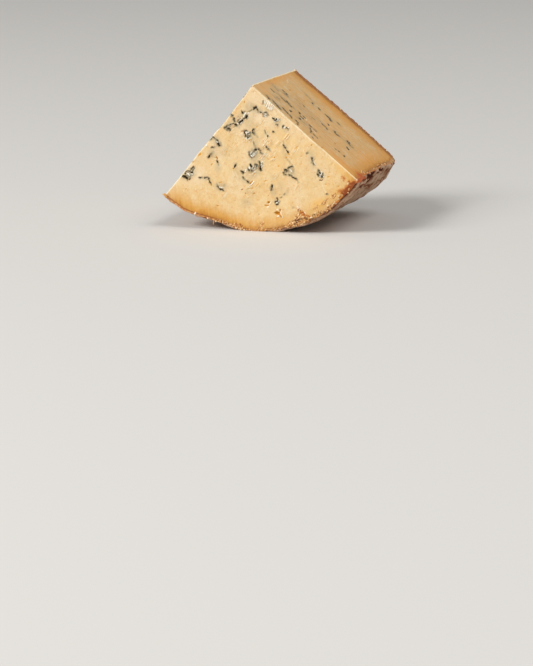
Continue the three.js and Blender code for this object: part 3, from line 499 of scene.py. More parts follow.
RIGHT_SMUDGES = (
    (1.4, 11.4, 4.8, 14, 3.4), (1.6, 16.8, 6.2, 18.6, 5.2, 24, 3.6), (1.8, 12, 9, 12.8, 13),
    (3, 15.4, 15, 16.4, 18), (1.6, 24, 9, 28.8, 8.2, 33, 7), (1, 9.2, 16.4, 9.2, 17.6),
    (1.6, 7.4, 23, 10.6, 22.4), (1.4, 13.2, 24.6, 17, 23.8, 20.8, 23.4), (1.6, 21, 25.6, 25.4, 24.4),
    (1.2, 4, 27, 4.8, 26.4), (1.4, 5.4, 33.8, 6.4, 33.4), (2.6, 15, 39, 17, 36.6),
    (1.4, 11.2, 40.8, 13, 40.4), (1, 28.6, 30.6, 29.6, 30.2), (0.9, 24, 48.8, 31, 47.2),
    (0.7, 17, 72.4, 24, 70.4, 33.6, 67.6), (1.6, 41, 65.8, 46, 65.4), (2.4, 46, 65.2, 47, 62.2),
    (1.2, 30.2, 62, 31, 60), (1.6, 54.6, 36.4, 55, 38.8), (1.2, 67, 44.4, 67.8, 44.2),
    (0.9, 72.6, 49, 73, 51), (1.3, 57, 56.4, 57.8, 56), (1.2, 49.4, 70.8, 52.2, 70.4),
    (1.4, 54, 16.4, 57.4, 18.4), (1, 77.6, 21.6, 78.2, 21.6), (1, 46.8, 50.2, 47.2, 49.8),
)
RIGHT_PALE = (
    (0.9, 5.6, 66.4, 6.3, 64.2), (0.7, 6.7, 63.2, 7.4, 61.6), (0.6, 27.8, 13.4, 29.4, 10.6),
    (0.6, 26, 19.4, 27.4, 17.8), (0.5, 33.4, 28, 37.6, 24.6), (0.5, 36, 20.2, 37.8, 18.6),
    (0.5, 37.8, 26.8, 39.4, 24.2), (0.6, 45.6, 18.6, 48.4, 16.4), (0.5, 43.8, 23, 49.2, 21.8),
    (0.5, 49.2, 17.8, 50.8, 15.2), (0.3, 85.8, 67, 86.8, 62), (0.6, 70.6, 41.6, 72.4, 40.6),
    (0.5, 66, 52.4, 68.6, 52),
)
RIGHT_CLOUDS = (
    (20, 6, 16, 5, 0, 0.5), (16, 16, 5, 6, 0, 0.5), (38, 16, 14, 10, 0, 0.35), (20, 25, 16, 6, 0, 0.45),
    (8, 34, 7, 6, 0, 0.45), (15.5, 38, 5, 4.5, 40, 0.6), (46, 20, 6, 4, 0, 0.4), (35, 40, 25, 14, 0, 0.25),
    (49, 43, 5, 3, 0, 0.4), (57, 48, 5, 7, 0, 0.4), (68, 46, 6, 8, 0, 0.4), (30, 64, 4, 5, 0, 0.35),
    (44, 65, 6, 4, 0, 0.5), (24, 71, 9, 2.5, 5, 0.35), (51, 70.5, 3, 3, 0, 0.35),
)
# The pale frayed edge of the rind
RIGHT_CRUMBLED = (
    (92, 22, 1.8, 3.6, 0, 0.8), (93, 44, 1.6, 12, 0, 0.5), (92.8, 72, 2, 12, 0, 0.5),
    (93, 90, 2.2, 8, 0, 0.6),
)
RIGHT_RED = (
    (94.4, 5, 1.7, 6, 0, 1.1), (93.8, 12, 1.6, 5, 0, 1.1), (92.4, 20, 1.2, 4, 0, 0.6),
    (94.2, 28, 1.4, 8, 0, 0.7), (94.6, 42, 1.6, 10, 0, 0.8), (94.8, 56, 1.6, 7, 0, 0.85),
    (93.8, 68, 1, 4, 0, 0.5), (94.6, 80, 1.2, 5, 0, 0.4),
)
RIGHT_GOLD = (
    (80, 6, 26, 8, 0, 0.9), (89, 11, 8, 12, 0, 1), (86, 50, 12, 36, 0, 0.7), (50, 90, 56, 10, 0, 0.5),
    (52, 30, 34, 60, 0, 0.22), (6, 9, 9, 10, 0, 0.5), (1, 50, 5, 60, 0, 0.8),
)

# ---- Patches on the rind: (degrees, back from the front cut, half around, half back, strength) ----
# Hollows torn out under the right cut
RIND_HOLLOWS = (
    (53.2, 38, 3.8, 10, 3), (50.4, 47, 4.4, 8, 3), (53.6, 58, 2, 11, 1.8), (48.6, 33, 1.4, 8, 1.2),
    (40.5, 22, 1.4, 7, 1), (44, 92, 2, 3, 1), (44.6, 62, 1.2, 6, 0.8),
)
# The red lip that runs on from the right cut
RIND_LIP = (
    (54.6, 9, 2.6, 17, 1.3),
)
# Brown stains, and painted shadow along the rind under the front arris (the two that start at the front cut)
RIND_STAINS_AND_SHADOWS = (
    (50, 0, 12, 5.5, 1), (38, 0, 12, 3, 0.6), (53.4, 24, 1.8, 9, 0.6), (49.6, 27, 1.2, 10, 0.55),
    (46, 58, 1.6, 12, 0.5), (43, 36, 1.2, 9, 0.5), (52.6, 78, 1.6, 8, 0.5), (47.6, 78, 1.2, 7, 0.4),
)

# ---- Crumbs stuck to the rims ----
# How many, between which degrees round the drum, which depths, and how far under the rind
RIM_CRUMBS = (
    (30, (-24, 12), (0, 0), (0, 1.2)), (46, (12, 45), (0, 0), (0, 1.7)), (8, (26, 46), (0, 0), (1.5, 4)),
    (26, (RIGHT_CORNER, RIGHT_CORNER), (24, 96), (0.9, 3.0)),
    (10, (RIGHT_CORNER, RIGHT_CORNER), (18, 25), (0.8, 4.4)),
    (24, (LEFT_CORNER, LEFT_CORNER), (8, 96), (0, 1.6)),
    (14, (RIGHT_CORNER, RIGHT_CORNER), (98.4, 98.9), (4, 70)),
)
# Single ones on the front cut: (across, up, half length, half width, turn, tone from brown to cream)
PLACED_CRUMBS = (
    (-60.9, -76.8, 1.9, 0.9, -55, 0.45), (-62.2, -75.4, 1.1, 0.8, 0, 0.6), (-40.0, -87.1, 1.1, 0.7, 60, 1.0),
    (-27.0, -92.2, 1.9, 0.4, 80, 0.35), (66.3, -62.2, 0.8, 0.5, 75, 0.8), (66.8, -66.0, 0.9, 0.5, 70, 0.6),
    (66.3, -68.4, 0.5, 0.4, 0, 0.75), (60.0, -71.1, 0.8, 0.4, -50, 0.85), (62.5, -70.7, 0.7, 0.3, 80, 0.8),
    (41.3, -86.7, 0.8, 0.6, 30, 1.0), (44.1, -83.2, 0.7, 0.5, 40, 0.85), (47.2, -77.0, 0.6, 0.4, 30, 0.8),
    (57.0, -76.4, 0.8, 0.5, 40, 0.8), (52.7, -77.9, 0.9, 0.6, 40, 0.8), (-13.6, -70.6, 0.6, 0.3, 40, 0.9),
)
CRUMB_HALF = (0.26, 0.6)
CRUMB_SINK = 0.4  # the share of its half size that a crumb lies sunk in the skin
CRUMB_SEED = 8


# ---- The kinds of marks, by the field that each kind raises ----
def flush(lines):
    """Lines that aren't sunk into the paste."""
    return [(width, 0, *path) for width, *path in lines]


FRONT_LINES = {
    "vein": FRONT_VEINS,
    "smudge": flush(FRONT_SMUDGES),
    "pale": flush(FRONT_PALE),
    "olive": FRONT_OLIVE,
    "brown": FRONT_BROWN,
    "amber": FRONT_AMBER,
    "scored": FRONT_SCORED,
}
RIGHT_LINES = {
    "vein": RIGHT_VEINS,
    "smudge": flush(RIGHT_SMUDGES),
    "pale": flush(RIGHT_PALE),
    "amber": RIGHT_AMBER,
}
# Each with the place in its ovals where they start to fade
FRONT_AREAS = (
    ("hatch", 0.3, FRONT_HATCH),
    ("crumb", 0.5, FRONT_CRUMBLED),
    ("light", 0, FRONT_LIGHT),
    ("red", 0, FRONT_RED),
    ("gold", 0, FRONT_GOLD),
)
RIGHT_AREAS = (("crumb", 0.5, RIGHT_CRUMBLED), ("red", 0, RIGHT_RED), ("gold", 0, RIGHT_GOLD))
AREA_FIELDS = ("pit", "torn", "cloud", "hatch", "crumb", "red", "gold", "light")
RIND_MARKS = {"hollow": RIND_HOLLOWS, "lip": RIND_LIP, "stain_and_shadow": RIND_STAINS_AND_SHADOWS}


# ---- Repeatable noise ----
def lattice_value(i, j, k):
    """A fixed pseudo-random value from -1 to 1 for a lattice point, the same as in the solid."""
    wave = np.sin(127.1 * i + 311.7 * j + 74.7 * k) * 43758.5453
    return 2 * (wave - np.floor(wave)) - 1


def noise(points, size, channel):
    """Smooth noise from -1 to 1 with bumps of one size, different for each channel."""
    place = points / size + np.array([17.0 * channel, 0, 0])
    base = np.floor(place)
    part = place - base
    ease = part * part * (3 - 2 * part)
    total = np.zeros(len(points))
    for corner in range(8):
        step = np.array([corner & 1, (corner >> 1) & 1, corner >> 2])
        weight = np.prod(np.where(step, ease, 1 - ease), axis=1)
        total += weight * lattice_value(*(base + step).T)
    return total


def bumps(points, sizes_and_heights, channel):
    return sum(height * noise(points, size, channel) for size, height in sizes_and_heights)


def shaken(points, sizes_and_heights, channels):
    """One column of bumps for each channel, to move places by."""
    return np.column_stack([bumps(points, sizes_and_heights, channel) for channel in channels])


def smoothstep(value, low, high):
    t = np.clip((value - low) / (high - low), 0, 1)
    return t * t * (3 - 2 * t)


def fading(distance, width):
    """1 at no distance, dying away over a width."""
    return np.exp(-((distance / width) ** 2))


# ---- The plain wedge ----
def swell_at(degrees, swell):
    at, spread, height = swell
    return height * np.exp(-0.5 * ((degrees - at) / spread) ** 2)


def drum_radius(degrees, depth):
    """The drum's radius at an angle, a depth behind the front cut."""
    near_front = 1 - smoothstep(depth, 0, HOLLOW_REACH)
    near_back = smoothstep(depth, HOLLOW_REACH, THICKNESS)
    at_front = swell_at(degrees, HOLLOW) * near_front
    at_back = (swell_at(degrees, BACK_BULGE) + swell_at(degrees, RIGHT_BACK_BULGE)) * near_back
    return DRUM_RADIUS + at_front + at_back + swell_at(degrees, BULGE)


def drum_place(degrees, radius):
    """Where a place round the drum's axis lies, along X and Z."""
    turn = np.radians(degrees)
    return AXIS_X + radius * np.sin(turn), AXIS_Z - radius * np.cos(turn)


def between(share, rim_x, depth, rim_z):
    """Points on the way from the apex to the rim."""
    return np.column_stack([
        APEX_X + share * (rim_x - APEX_X),
        FRONT_Y + depth,
        APEX_Z + share * (rim_z - APEX_Z),
    ])


def layer_at(layer):
    """How deep each layer lies, and how far the rounded shoulder has pulled its rim in."""
    straight = layer / STRAIGHT_LAYERS * (THICKNESS - SHOULDER_RADIUS)
    turn = np.clip((layer - STRAIGHT_LAYERS) / SHOULDER_LAYERS, 0, 1) * (math.pi / 2)
    rounded = THICKNESS - SHOULDER_RADIUS * (1 - np.sin(turn))
    depth = np.where(layer <= STRAIGHT_LAYERS, straight, rounded)
    return depth, SHOULDER_RADIUS * (1 - np.cos(turn))


def plain_points(ray, step, layer):
    """Points of the plain wedge, before it is made uneven, crowded towards the rim."""
    degrees = LEFT_CORNER + ray / RAYS * (RIGHT_CORNER - LEFT_CORNER)
    depth, pull = layer_at(layer)
    rim_x, rim_z = drum_place(degrees, drum_radius(degrees, depth) - pull)
    t = step / STEPS
    return between(t * (1 + RIM_CROWDING - RIM_CROWDING * t), rim_x, depth, rim_z)


def weathered(points):
    """The plain wedge's points moved to the uneven surface, their angle and their depth under the rind."""
    out_x = points[:, 0] - AXIS_X
    out_z = points[:, 2] - AXIS_Z
    radius = np.hypot(out_x, out_z)
    outward = np.column_stack([out_x, np.zeros(len(points)), out_z]) / np.maximum(radius, 1e-6)[:, None]
    degrees = np.degrees(np.arctan2(out_x, -out_z))
    depth = points[:, 1] - FRONT_Y
    under_rind = np.maximum(0, drum_radius(degrees, depth) - radius)
    rind_share = np.exp(-under_rind / RIND_DEPTH)
    along = smoothstep(degrees, CRUMBLE_FROM - CRUMBLE_EASE, CRUMBLE_FROM + CRUMBLE_EASE)
    along *= 1 - smoothstep(degrees, CRUMBLE_TO - CRUMBLE_EASE, CRUMBLE_TO + CRUMBLE_EASE)
    near = fading(np.hypot(under_rind, depth), CRUMBLE_REACH)
    chip = CRUMBLE_DEPTH * along * (0.6 + 0.4 * noise(points, CRUMB_SIZE, 7)) * near
    moved = points + shaken(points, CUT_SWELLS, (1, 2, 3)) * np.column_stack([
        1 - rind_share,
        np.ones(len(points)),
        1 - rind_share,
    ])
    moved[:, 1] += CRUMBLE_BACK * chip
    moved += outward * (bumps(points, RIND_BUMPS, 4) * rind_share - chip)[:, None]
    return moved, degrees, under_rind


# ---- The cut faces ----
def unit(vector):
    return np.array(vector) / np.linalg.norm(vector)


def radial_direction(corner):
    """The way from the apex to a corner of the front cut."""
    x, z = drum_place(corner, drum_radius(corner, 0))
    return unit((x - APEX_X, 0, z - APEX_Z))


FRONT_ORIGIN = np.array([APEX_X, FRONT_Y, APEX_Z])
BACKWARDS = np.array([0.0, 1.0, 0.0])
TO_RIGHT = radial_direction(RIGHT_CORNER)
TO_LEFT = radial_direction(LEFT_CORNER)
# Each frame: across, up, out of the cheese
FRONT_FRAME = np.array([[1.0, 0, 0], [0, 0, 1.0], [0, -1.0, 0]])
RIGHT_FRAME = np.array([TO_RIGHT, BACKWARDS, np.cross(TO_RIGHT, BACKWARDS)])
LEFT_FRAME = np.array([TO_LEFT, BACKWARDS, np.cross(BACKWARDS, TO_LEFT)])


def on_face(points, face_frame):
    """Across, up and out from the front of the apex, in a cut face's frame."""
    return ((points - FRONT_ORIGIN) @ face_frame.T).T


def pairs(path):
    return list(zip(path[::2], path[1::2]))


def left_place(across, up):
    """Where a place of the front cut goes on the left one: turned a quarter and bent, so it isn't a copy."""
    along, back = -6 - 1.08 * up, 47 + 0.9 * across
    return along + 7 * math.sin(back / 13), back + 6 * math.sin(along / 10)


def on_left(place):
    return all(low < value < high for value, (low, high) in zip(place, LEFT_AREA))


def left_lines(lines):
    """The front cut's lines laid over the left cut, as far as they fit on it."""
    moved = [(width, depth, [left_place(*place) for place in pairs(path)]) for width, depth, *path in lines]
    return [(width, depth, *sum(path, ())) for width, depth, path in moved if all(map(on_left, path))]


def left_patches(patches):
    """The front cut's patches laid over the left cut, as far as they fit on it."""
    moved = [(*left_place(*patch[:2]), *patch[2:4], patch[4] + 90, patch[5]) for patch in patches]
    return [patch for patch in moved if on_left(patch[:2])]


# ---- Fields: how near each point of the skin is to the marks on it ----
def distance_to_path(across, up, path):
    """The distance of points on a face from a path of straight stretches."""
    nearest = np.full(len(across), np.inf)
    for (ax, ay), (bx, by) in zip(path, path[1:]):
        dx, dy = bx - ax, by - ay
        t = np.clip(((across - ax) * dx + (up - ay) * dy) / (dx * dx + dy * dy), 0, 1)
        nearest = np.minimum(nearest, np.hypot(across - ax - t * dx, up - ay - t * dy))
    return nearest


def near_path(across, up, path):
    """The points whose distance from a path can matter."""
    low = np.min(path, axis=0) + SHALLOWEST
    high = np.max(path, axis=0) - SHALLOWEST
    return (across > low[0]) & (across < high[0]) & (up > low[1]) & (up < high[1])


def raise_to(field, index, values):
    field[index] = np.maximum(field[index], values)


def add_lines(fields, name, fray, index, coords, lines):
    """Raises the closeness field of one kind of line, and deepens the pits under it."""
    across, up, out = coords
    for width, depth, *numbers in lines:
        path = pairs(numbers)
        near = near_path(across, up, path)
        beside = OUT_SHARE * out[near]
        distance = np.hypot(distance_to_path(across[near], up[near], path), beside)
        raise_to(fields[name], index[near], width / 2 - distance - fray[near])
        pit_distance = distance_to_path(across[near] - PIT_SHIFT, up[near] + PIT_SHIFT, path)
        closeness = width / 2 - np.hypot(pit_distance, beside) - fray[near]
        raise_to(fields["pit"], index[near], depth * np.sqrt(np.clip(closeness / (width / 2), 0, 1)))


def add_patches(field, index, coords, patches, edge):
    """Adds soft oval patches to a field; edge is where in the oval they start to fade."""
    across, up, out = coords
    for centre_x, centre_y, half_length, half_width, turn, strength in patches:
        c, s = math.cos(math.radians(turn)), math.sin(math.radians(turn))
        dx, dy = across - centre_x, up - centre_y
        along, beside = (c * dx + s * dy) / half_length, (c * dy - s * dx) / half_width
        oval = np.sqrt(along ** 2 + beside ** 2 + (OUT_SHARE * out / half_width) ** 2)
        raise_to(field, index, strength * (1 - smoothstep(oval, edge, PATCH_END)))


def mark_face(fields, points, face_frame, fray_length, lines, torn, clouds):
    """Lays one cut face's marks over the points that lie near it."""
    coords = on_face(points, face_frame)
    index = np.flatnonzero(np.abs(coords[2]) < MARK_REACH)
    near, (across, up, out) = points[index], coords[:, index]
    ragged = across + bumps(near, RAGGED, 11), up + bumps(near, RAGGED, 12), out
    cloudy = across + bumps(near, CLOUD_RAGGED, 13), up + bumps(near, CLOUD_RAGGED, 14), out
    drawn = np.column_stack([across / fray_length, up, out])
    fray = np.maximum(0, bumps(drawn, FRAY, 18))
    for name, marks in lines.items():
        add_lines(fields, name, fray, index, ragged, marks)
    add_patches(fields["torn"], index, ragged, torn, TORN_EDGE)
    add_patches(fields["cloud"], index, cloudy, clouds, CLOUD_EDGE)


def mark_skin(fields, points):
    """Lays the marks of the three cuts over the skin."""
    ragged = points + shaken(points, RAGGED, (15, 16, 17))
    everywhere = np.arange(len(points))
    for face_frame, areas in ((FRONT_FRAME, FRONT_AREAS), (RIGHT_FRAME, RIGHT_AREAS)):
        coords = on_face(ragged, face_frame)
        for name, edge, patches in areas:
            add_patches(fields[name], everywhere, coords, patches, edge)
    mark_face(fields, points, FRONT_FRAME, 1, FRONT_LINES, FRONT_TORN, FRONT_CLOUDS)
    mark_face(fields, points, RIGHT_FRAME, DRAWN_FRAY, RIGHT_LINES, (), RIGHT_CLOUDS)
    lines = {name: left_lines(FRONT_LINES[name]) for name in LEFT_MARKS}
    mark_face(fields, points, LEFT_FRAME, 1, lines, left_patches(FRONT_TORN), left_patches(FRONT_CLOUDS))


def scattered_dents(across, up, count, low, high, seed):
    """Closeness and depth of small seeded dents over a rectangle of a face."""
    rng = np.random.default_rng(seed)
    closeness = np.full(len(across), SHALLOWEST)
    sunk = np.zeros(len(across))
    for _ in range(count):
        centre = rng.uniform(low, high)
        half = rng.uniform(*DENT_HALF)
        depth = rng.uniform(*DENT_DEPTH)
        away_across, away_up = across - centre[0], up - centre[1]
        near = np.flatnonzero((np.abs(away_across) < DENT_REACH) & (np.abs(away_up) < DENT_REACH))
        distance = np.hypot(away_across[near], DENT_SQUEEZE * away_up[near])
        raise_to(closeness, near, half - distance)
        raise_to(sunk, near, depth * np.sqrt(np.clip(1 - distance / half, 0, 1)))
    return closeness, sunk


def rind_patches(degrees, depth, rough, patches):
    """Ragged oval patches of the rind: the strength of the strongest at each point."""
    strongest = np.zeros(len(degrees))
    for at, back, half_around, half_back, strength in patches:
        around = np.radians(degrees - at) * DRUM_RADIUS / half_around
        oval = np.hypot(around, (depth - back) / half_back) + RIND_PATCH_RAGGED * rough
        strongest = np.maximum(strongest, strength * (1 - smoothstep(oval, *RIND_PATCH_EDGES)))
    return strongest


def under_both_rinds(under_side, depth):
    """How far a point lies under the nearer of the curved and the flat rind, round their shoulder."""
    under_top = TOP_RIM_SHARE * np.maximum(0, THICKNESS - depth)
    nearest = np.minimum(under_side, under_top)
    in_side = np.maximum(0, SHOULDER_RADIUS - under_side)
    in_top = np.maximum(0, SHOULDER_RADIUS - under_top)
    rounded = SHOULDER_RADIUS - np.hypot(in_side, in_top)
    return np.where((in_side > 0) & (in_top > 0), np.maximum(rounded, 0), nearest)


# ---- Relief ----
def torn_streaks(points, face_frame, length, width, channel):
    """Noise from -1 to 1 drawn out along the tears of a face."""
    across, up, out = on_face(points, face_frame)
    c, s = math.cos(math.radians(TEAR_TURN)), math.sin(math.radians(TEAR_TURN))
    drawn = np.column_stack([(c * across + s * up) / length, (c * up - s * across) / width, out / length])
    return noise(drawn, 1.0, channel)


def speckle(points, face_frame):
    """Torn curd: streaky specks with finer ones between them."""
    return sum(
        height * torn_streaks(points, face_frame, length, width, 21 + i)
        for i, (height, length, width) in enumerate(SPECKLES)
    )


def knife_drags(points):
    """Long parallel drags of the knife on the right cut, from the apex to the rind."""
    across, up, out = on_face(points, RIGHT_FRAME)
    drawn = np.column_stack([across / DRAG_LENGTH, up, out])
    return sum(height * noise(drawn, size, 41 + i) for i, (size, height) in enumerate(DRAGS))


def wrinkles(points, sizes_and_heights):
    """Worm-like folds, longer round the drum: the rind is high where smooth noise crosses zero."""
    drawn = (points + shaken(points, (WRINKLE_BEND,), (51, 52, 53))) * WRINKLE_SQUEEZE
    return sum(
        height * (1 - WRINKLE_FALL * np.abs(noise(drawn, size, 54)))
        for size, height in sizes_and_heights
    )


def cut_relief(points, fields, on):
    """The torn, lumpy front and left cuts and the dragged right cut."""
    ridge = np.where(on["front"], speckle(points, FRONT_FRAME), speckle(points, LEFT_FRAME))
    paste = bumps(points, LOW_LUMPS, 31) + TORN_HEIGHT * fields["torn"] * ridge
    paste += LIP_HEIGHT * fading(fields["vein"] + LIP_SPREAD, LIP_SPREAD)
    scratches = torn_streaks(points, FRONT_FRAME, *SCRATCH, 23)
    paste += (HATCH_HEIGHT * fields["hatch"] + SCRATCH_HEIGHT) * scratches
    paste += PALE_HEIGHT * smoothstep(fields["pale"], -0.4, 0.2)
    across, up, _ = on_face(points, FRONT_FRAME)
    dent, sunk = scattered_dents(across, up, *CURD_DENTS)
    fields["dent"] = np.where(on["front"], dent, SHALLOWEST)
    relief = np.where(on["right"], knife_drags(points), paste)
    return relief - np.where(on["front"], sunk, 0) - fields["pit"]


def rind_relief(points, degrees, depth, fields, on_rind):
    """The wrinkled curved rind, the smoother flat one, and the holes of the piercing needles."""
    flat_share = smoothstep(depth, THICKNESS - 2 * SHOULDER_RADIUS, THICKNESS)
    around = np.radians(degrees) * DRUM_RADIUS
    side_pore, side_sunk = scattered_dents(around, points[:, 1], *SIDE_PORES)
    top_pore, top_sunk = scattered_dents(points[:, 0], points[:, 2], *TOP_PORES)
    on_top = flat_share > 0.95
    fold = (1 - flat_share) * wrinkles(points, WRINKLES) + flat_share * wrinkles(points, TOP_WRINKLES)
    fields["fold"] = np.where(on_rind, fold, 0)
    fields["flat"] = np.where(on_rind, flat_share, 0)
    fields["pore"] = np.where(on_rind, np.where(on_top, top_pore, side_pore), SHALLOWEST)
    rough = noise(points, 2.4, 55)
    for name, patches in RIND_MARKS.items():
        fields[name] = np.where(on_rind, rind_patches(degrees, depth, rough, patches), 0)
    # The hollows are coloured with the stains: painted shade in them
    fields["stain_and_shadow"] = np.maximum(fields["stain_and_shadow"], fields["hollow"])
    return fold - np.where(on_top, TOP_PORE_DEEPENING * top_sunk, SIDE_PORE_DEEPENING * side_sunk)


def rim_crumbling(degrees, under, depth, beside):
    """How crumbly the skin is: most by the rind, on the right half of the front cut and on the side cuts."""
    along = 0.45 * smoothstep(degrees, -24, -10) + 0.4 * smoothstep(degrees, 12, 20)
    along *= 1 - smoothstep(degrees, 42, 46)
    front = (0.15 + along) * fading(np.hypot(under, depth), CRUMBLING_SPREAD)
    right = 0.45 * smoothstep(depth, 14, 22) * fading(np.hypot(under, beside["right"]), SIDE_CRUMBLING)
    left = 0.7 * smoothstep(depth, 0, 20) * fading(np.hypot(under, beside["left"]), SIDE_CRUMBLING)
    back = 1 - 0.45 * smoothstep(depth, THICKNESS - 9, THICKNESS - 4)
    return np.maximum(front, np.maximum(right, left) * back)


def ochre_strength(degrees, beside_right):
    """How strongly the paste turns ochre towards the rind: least near the right end of the front cut."""
    front = 1 - 0.3 * smoothstep(degrees, -8, 6) - 0.4 * smoothstep(degrees, 26, 36)
    front -= 0.45 * (1 - smoothstep(degrees, -40, -33))
    return np.maximum(front, fading(beside_right, OCHRE_WIDTH))


def edge_relief(points, arris, crumbling, back_lip):
    """Rounded and nicked arrises, the crumbs of the rind's front one, and the lip of the flat rind."""
    nicks = ARRIS_DEPTH + NICK_DEPTH * np.maximum(0, noise(points, 1.7, 61) - 0.2)
    crumbs = 0.35 * noise(points, 1.5, 62) + 0.4 * noise(points, 0.9, 63)
    lip = BACK_LIP * back_lip * (1 + 0.6 * noise(points, 1.4, 64))
    return crumbling * crumbs + lip - nicks * (1 - back_lip) * fading(arris, ARRIS_WIDTH)


# ---- The skin of the wedge ----
def grid_triangles(columns, rows, key_at):
    """The two triangles of every cell of a grid of keys; cells that shrink to a line give one."""
    i, j = np.meshgrid(np.arange(columns), np.arange(rows), indexing="ij")
    i, j = i.ravel(), j.ravel()
    a, b, c, d = key_at(i, j), key_at(i + 1, j), key_at(i + 1, j + 1), key_at(i, j + 1)
    triangles = np.concatenate([np.column_stack([a, b, c]), np.column_stack([a, c, d])])
    p, q, r = triangles.T
    return triangles[(p != q) & (q != r) & (r != p)]


def vertex_key(ray, step, layer):
    """One number for a point of the wedge's grid; every ray has the same point at the apex."""
    ray = np.where(np.asarray(step) == 0, 0, ray)
    return (ray * (STEPS + 1) + step) * (LAYERS + 1) + layer


def skin_grid():
    """The closed skin's triangles and, for each vertex, its ray, step and layer."""
    triangles = np.concatenate([
        grid_triangles(STEPS, RAYS, lambda step, ray: vertex_key(ray, step, 0)),
        grid_triangles(RAYS, STEPS, lambda ray, step: vertex_key(ray, step, LAYERS)),
        grid_triangles(LAYERS, STEPS, lambda layer, step: vertex_key(0, step, layer)),
        grid_triangles(STEPS, LAYERS, lambda step, layer: vertex_key(RAYS, step, layer)),
        grid_triangles(LAYERS, RAYS, lambda layer, ray: vertex_key(ray, STEPS, layer)),
    ])
    keys, triangles = np.unique(triangles, return_inverse=True)
    rays_and_steps, layer = np.divmod(keys, LAYERS + 1)
    ray, step = np.divmod(rays_and_steps, STEPS + 1)
    return triangles.reshape(-1, 3), ray, step, layer


def vertex_normals(points, triangles):
    a, b, c = points[triangles[:, 0]], points[triangles[:, 1]], points[triangles[:, 2]]
    across = np.cross(b - a, c - a)
    normals = np.zeros_like(points)
    for corner in range(3):
        for axis in range(3):
            normals[:, axis] += np.bincount(triangles[:, corner], across[:, axis], len(points))
    return normals / np.linalg.norm(normals, axis=1)[:, None]


def second_nearest(*distances):
    """How far a point of the skin is from an arris: it lies on one face, and the next one meets it there."""
    return np.sort(np.abs(distances), axis=0)[1]


def new_fields(count):
    """Every mark's field before any mark is laid: far from all lines, and nothing in any area."""
    lines = {name: np.full(count, SHALLOWEST) for name in FRONT_LINES}
    return lines | {name: np.zeros(count) for name in AREA_FIELDS}


def wedge_skin():
    """The finished skin: points, triangles and the fields that colour it."""
    triangles, ray, step, layer = skin_grid()
    plain = plain_points(ray, step, layer)
    points, degrees, under_side = weathered(plain)
    depth = plain[:, 1] - FRONT_Y
    under = under_both_rinds(under_side, depth)
    on = {"front": layer == 0, "right": ray == RAYS}
    on_rind = (step == STEPS) | (layer == LAYERS)
    beside = {"right": on_face(plain, RIGHT_FRAME)[2], "left": on_face(plain, LEFT_FRAME)[2]}
    arris = second_nearest(depth, beside["right"], beside["left"], under)
    fields = new_fields(len(points))
    mark_skin(fields, points)
    fields["under"] = under
    fields["crumb"] = np.maximum(fields["crumb"], rim_crumbling(degrees, under, depth, beside))
    fields["band"] = ochre_strength(degrees, beside["right"])
    # A painted highlight along the arrises between the cuts
    fields["edge"] = fading(second_nearest(depth, beside["right"], beside["left"]), ARRIS_HIGHLIGHT_REACH)
    fields["dragged"] = on["right"].astype(float)
    fields["back"] = fading(THICKNESS - depth, BACK_LIP_WIDTH) * (under > 0.01)
    from_apex = np.hypot(plain[:, 0] - APEX_X, plain[:, 2] - APEX_Z)
    # The apex arris: its burr in the relief, and a painted highlight in the colour
    fields["apex"] = fading(from_apex, APEX_LIP_WIDTH) * (layer > 0)
    on_cut = cut_relief(points, fields, on)
    on_outside = rind_relief(points, degrees, depth, fields, on_rind)
    relief = np.where(on_rind, on_outside, on_cut) * smoothstep(arris, 0, ARRIS_EASE)
    relief += APEX_LIP * fields["apex"]
    relief += edge_relief(points, arris, fields["crumb"], fields["back"] * (arris < 3)) - fields["hollow"]
    points = points + vertex_normals(points, triangles) * relief[:, None]
    points[:, 2] = np.maximum(points[:, 2], 0)
    return points, triangles, fields


def mesh_object(name, points, triangles, fields):
    """A mesh object in metres from points in millimetres, with its fields as attributes."""
    mesh = bpy.data.meshes.new(name)
    mesh.vertices.add(len(points))
    mesh.vertices.foreach_set("co", (points * MM).astype(np.float32).ravel())
    mesh.loops.add(triangles.size)
    mesh.loops.foreach_set("vertex_index", triangles.astype(np.int32).ravel())
    mesh.polygons.add(len(triangles))
    mesh.polygons.foreach_set("loop_start", np.arange(0, triangles.size, 3, dtype=np.int32))
    mesh.update(calc_edges=True)
    for field, values in fields.items():
        mesh.attributes.new(field, "FLOAT", "POINT").data.foreach_set("value", values.astype(np.float32))
    mesh.validate()
    piece = bpy.data.objects.new(name, mesh)
    bpy.context.scene.collection.objects.link(piece)
    return piece


def decimate(piece, kept, spared):
    """Collapses edges where the surface is flattest, down to a number of triangles, sparing some points."""
    group = piece.vertex_groups.new(name="spared")
    group.add(np.flatnonzero(spared).tolist(), 1.0, "REPLACE")
    modifier = piece.modifiers.new("fewer", "DECIMATE")
    modifier.vertex_group = group.name
    modifier.invert_vertex_group = True
    modifier.ratio = min(1.0, kept / len(piece.data.polygons))
    depsgraph = bpy.context.evaluated_depsgraph_get()
    fewer = bpy.data.meshes.new_from_object(piece.evaluated_get(depsgraph))
    piece.modifiers.clear()
    piece.vertex_groups.clear()
    piece.data = fewer


# ---- Crumbs ----
def rim_points(degrees, depth, under):
    """Points of the uneven skin on the way from the rind to the apex."""
    rim_x, rim_z = drum_place(degrees, drum_radius(degrees, depth))
    share = 1 - under / np.hypot(rim_x - APEX_X, rim_z - APEX_Z)
    return weathered(between(share, rim_x, depth, rim_z))[0]


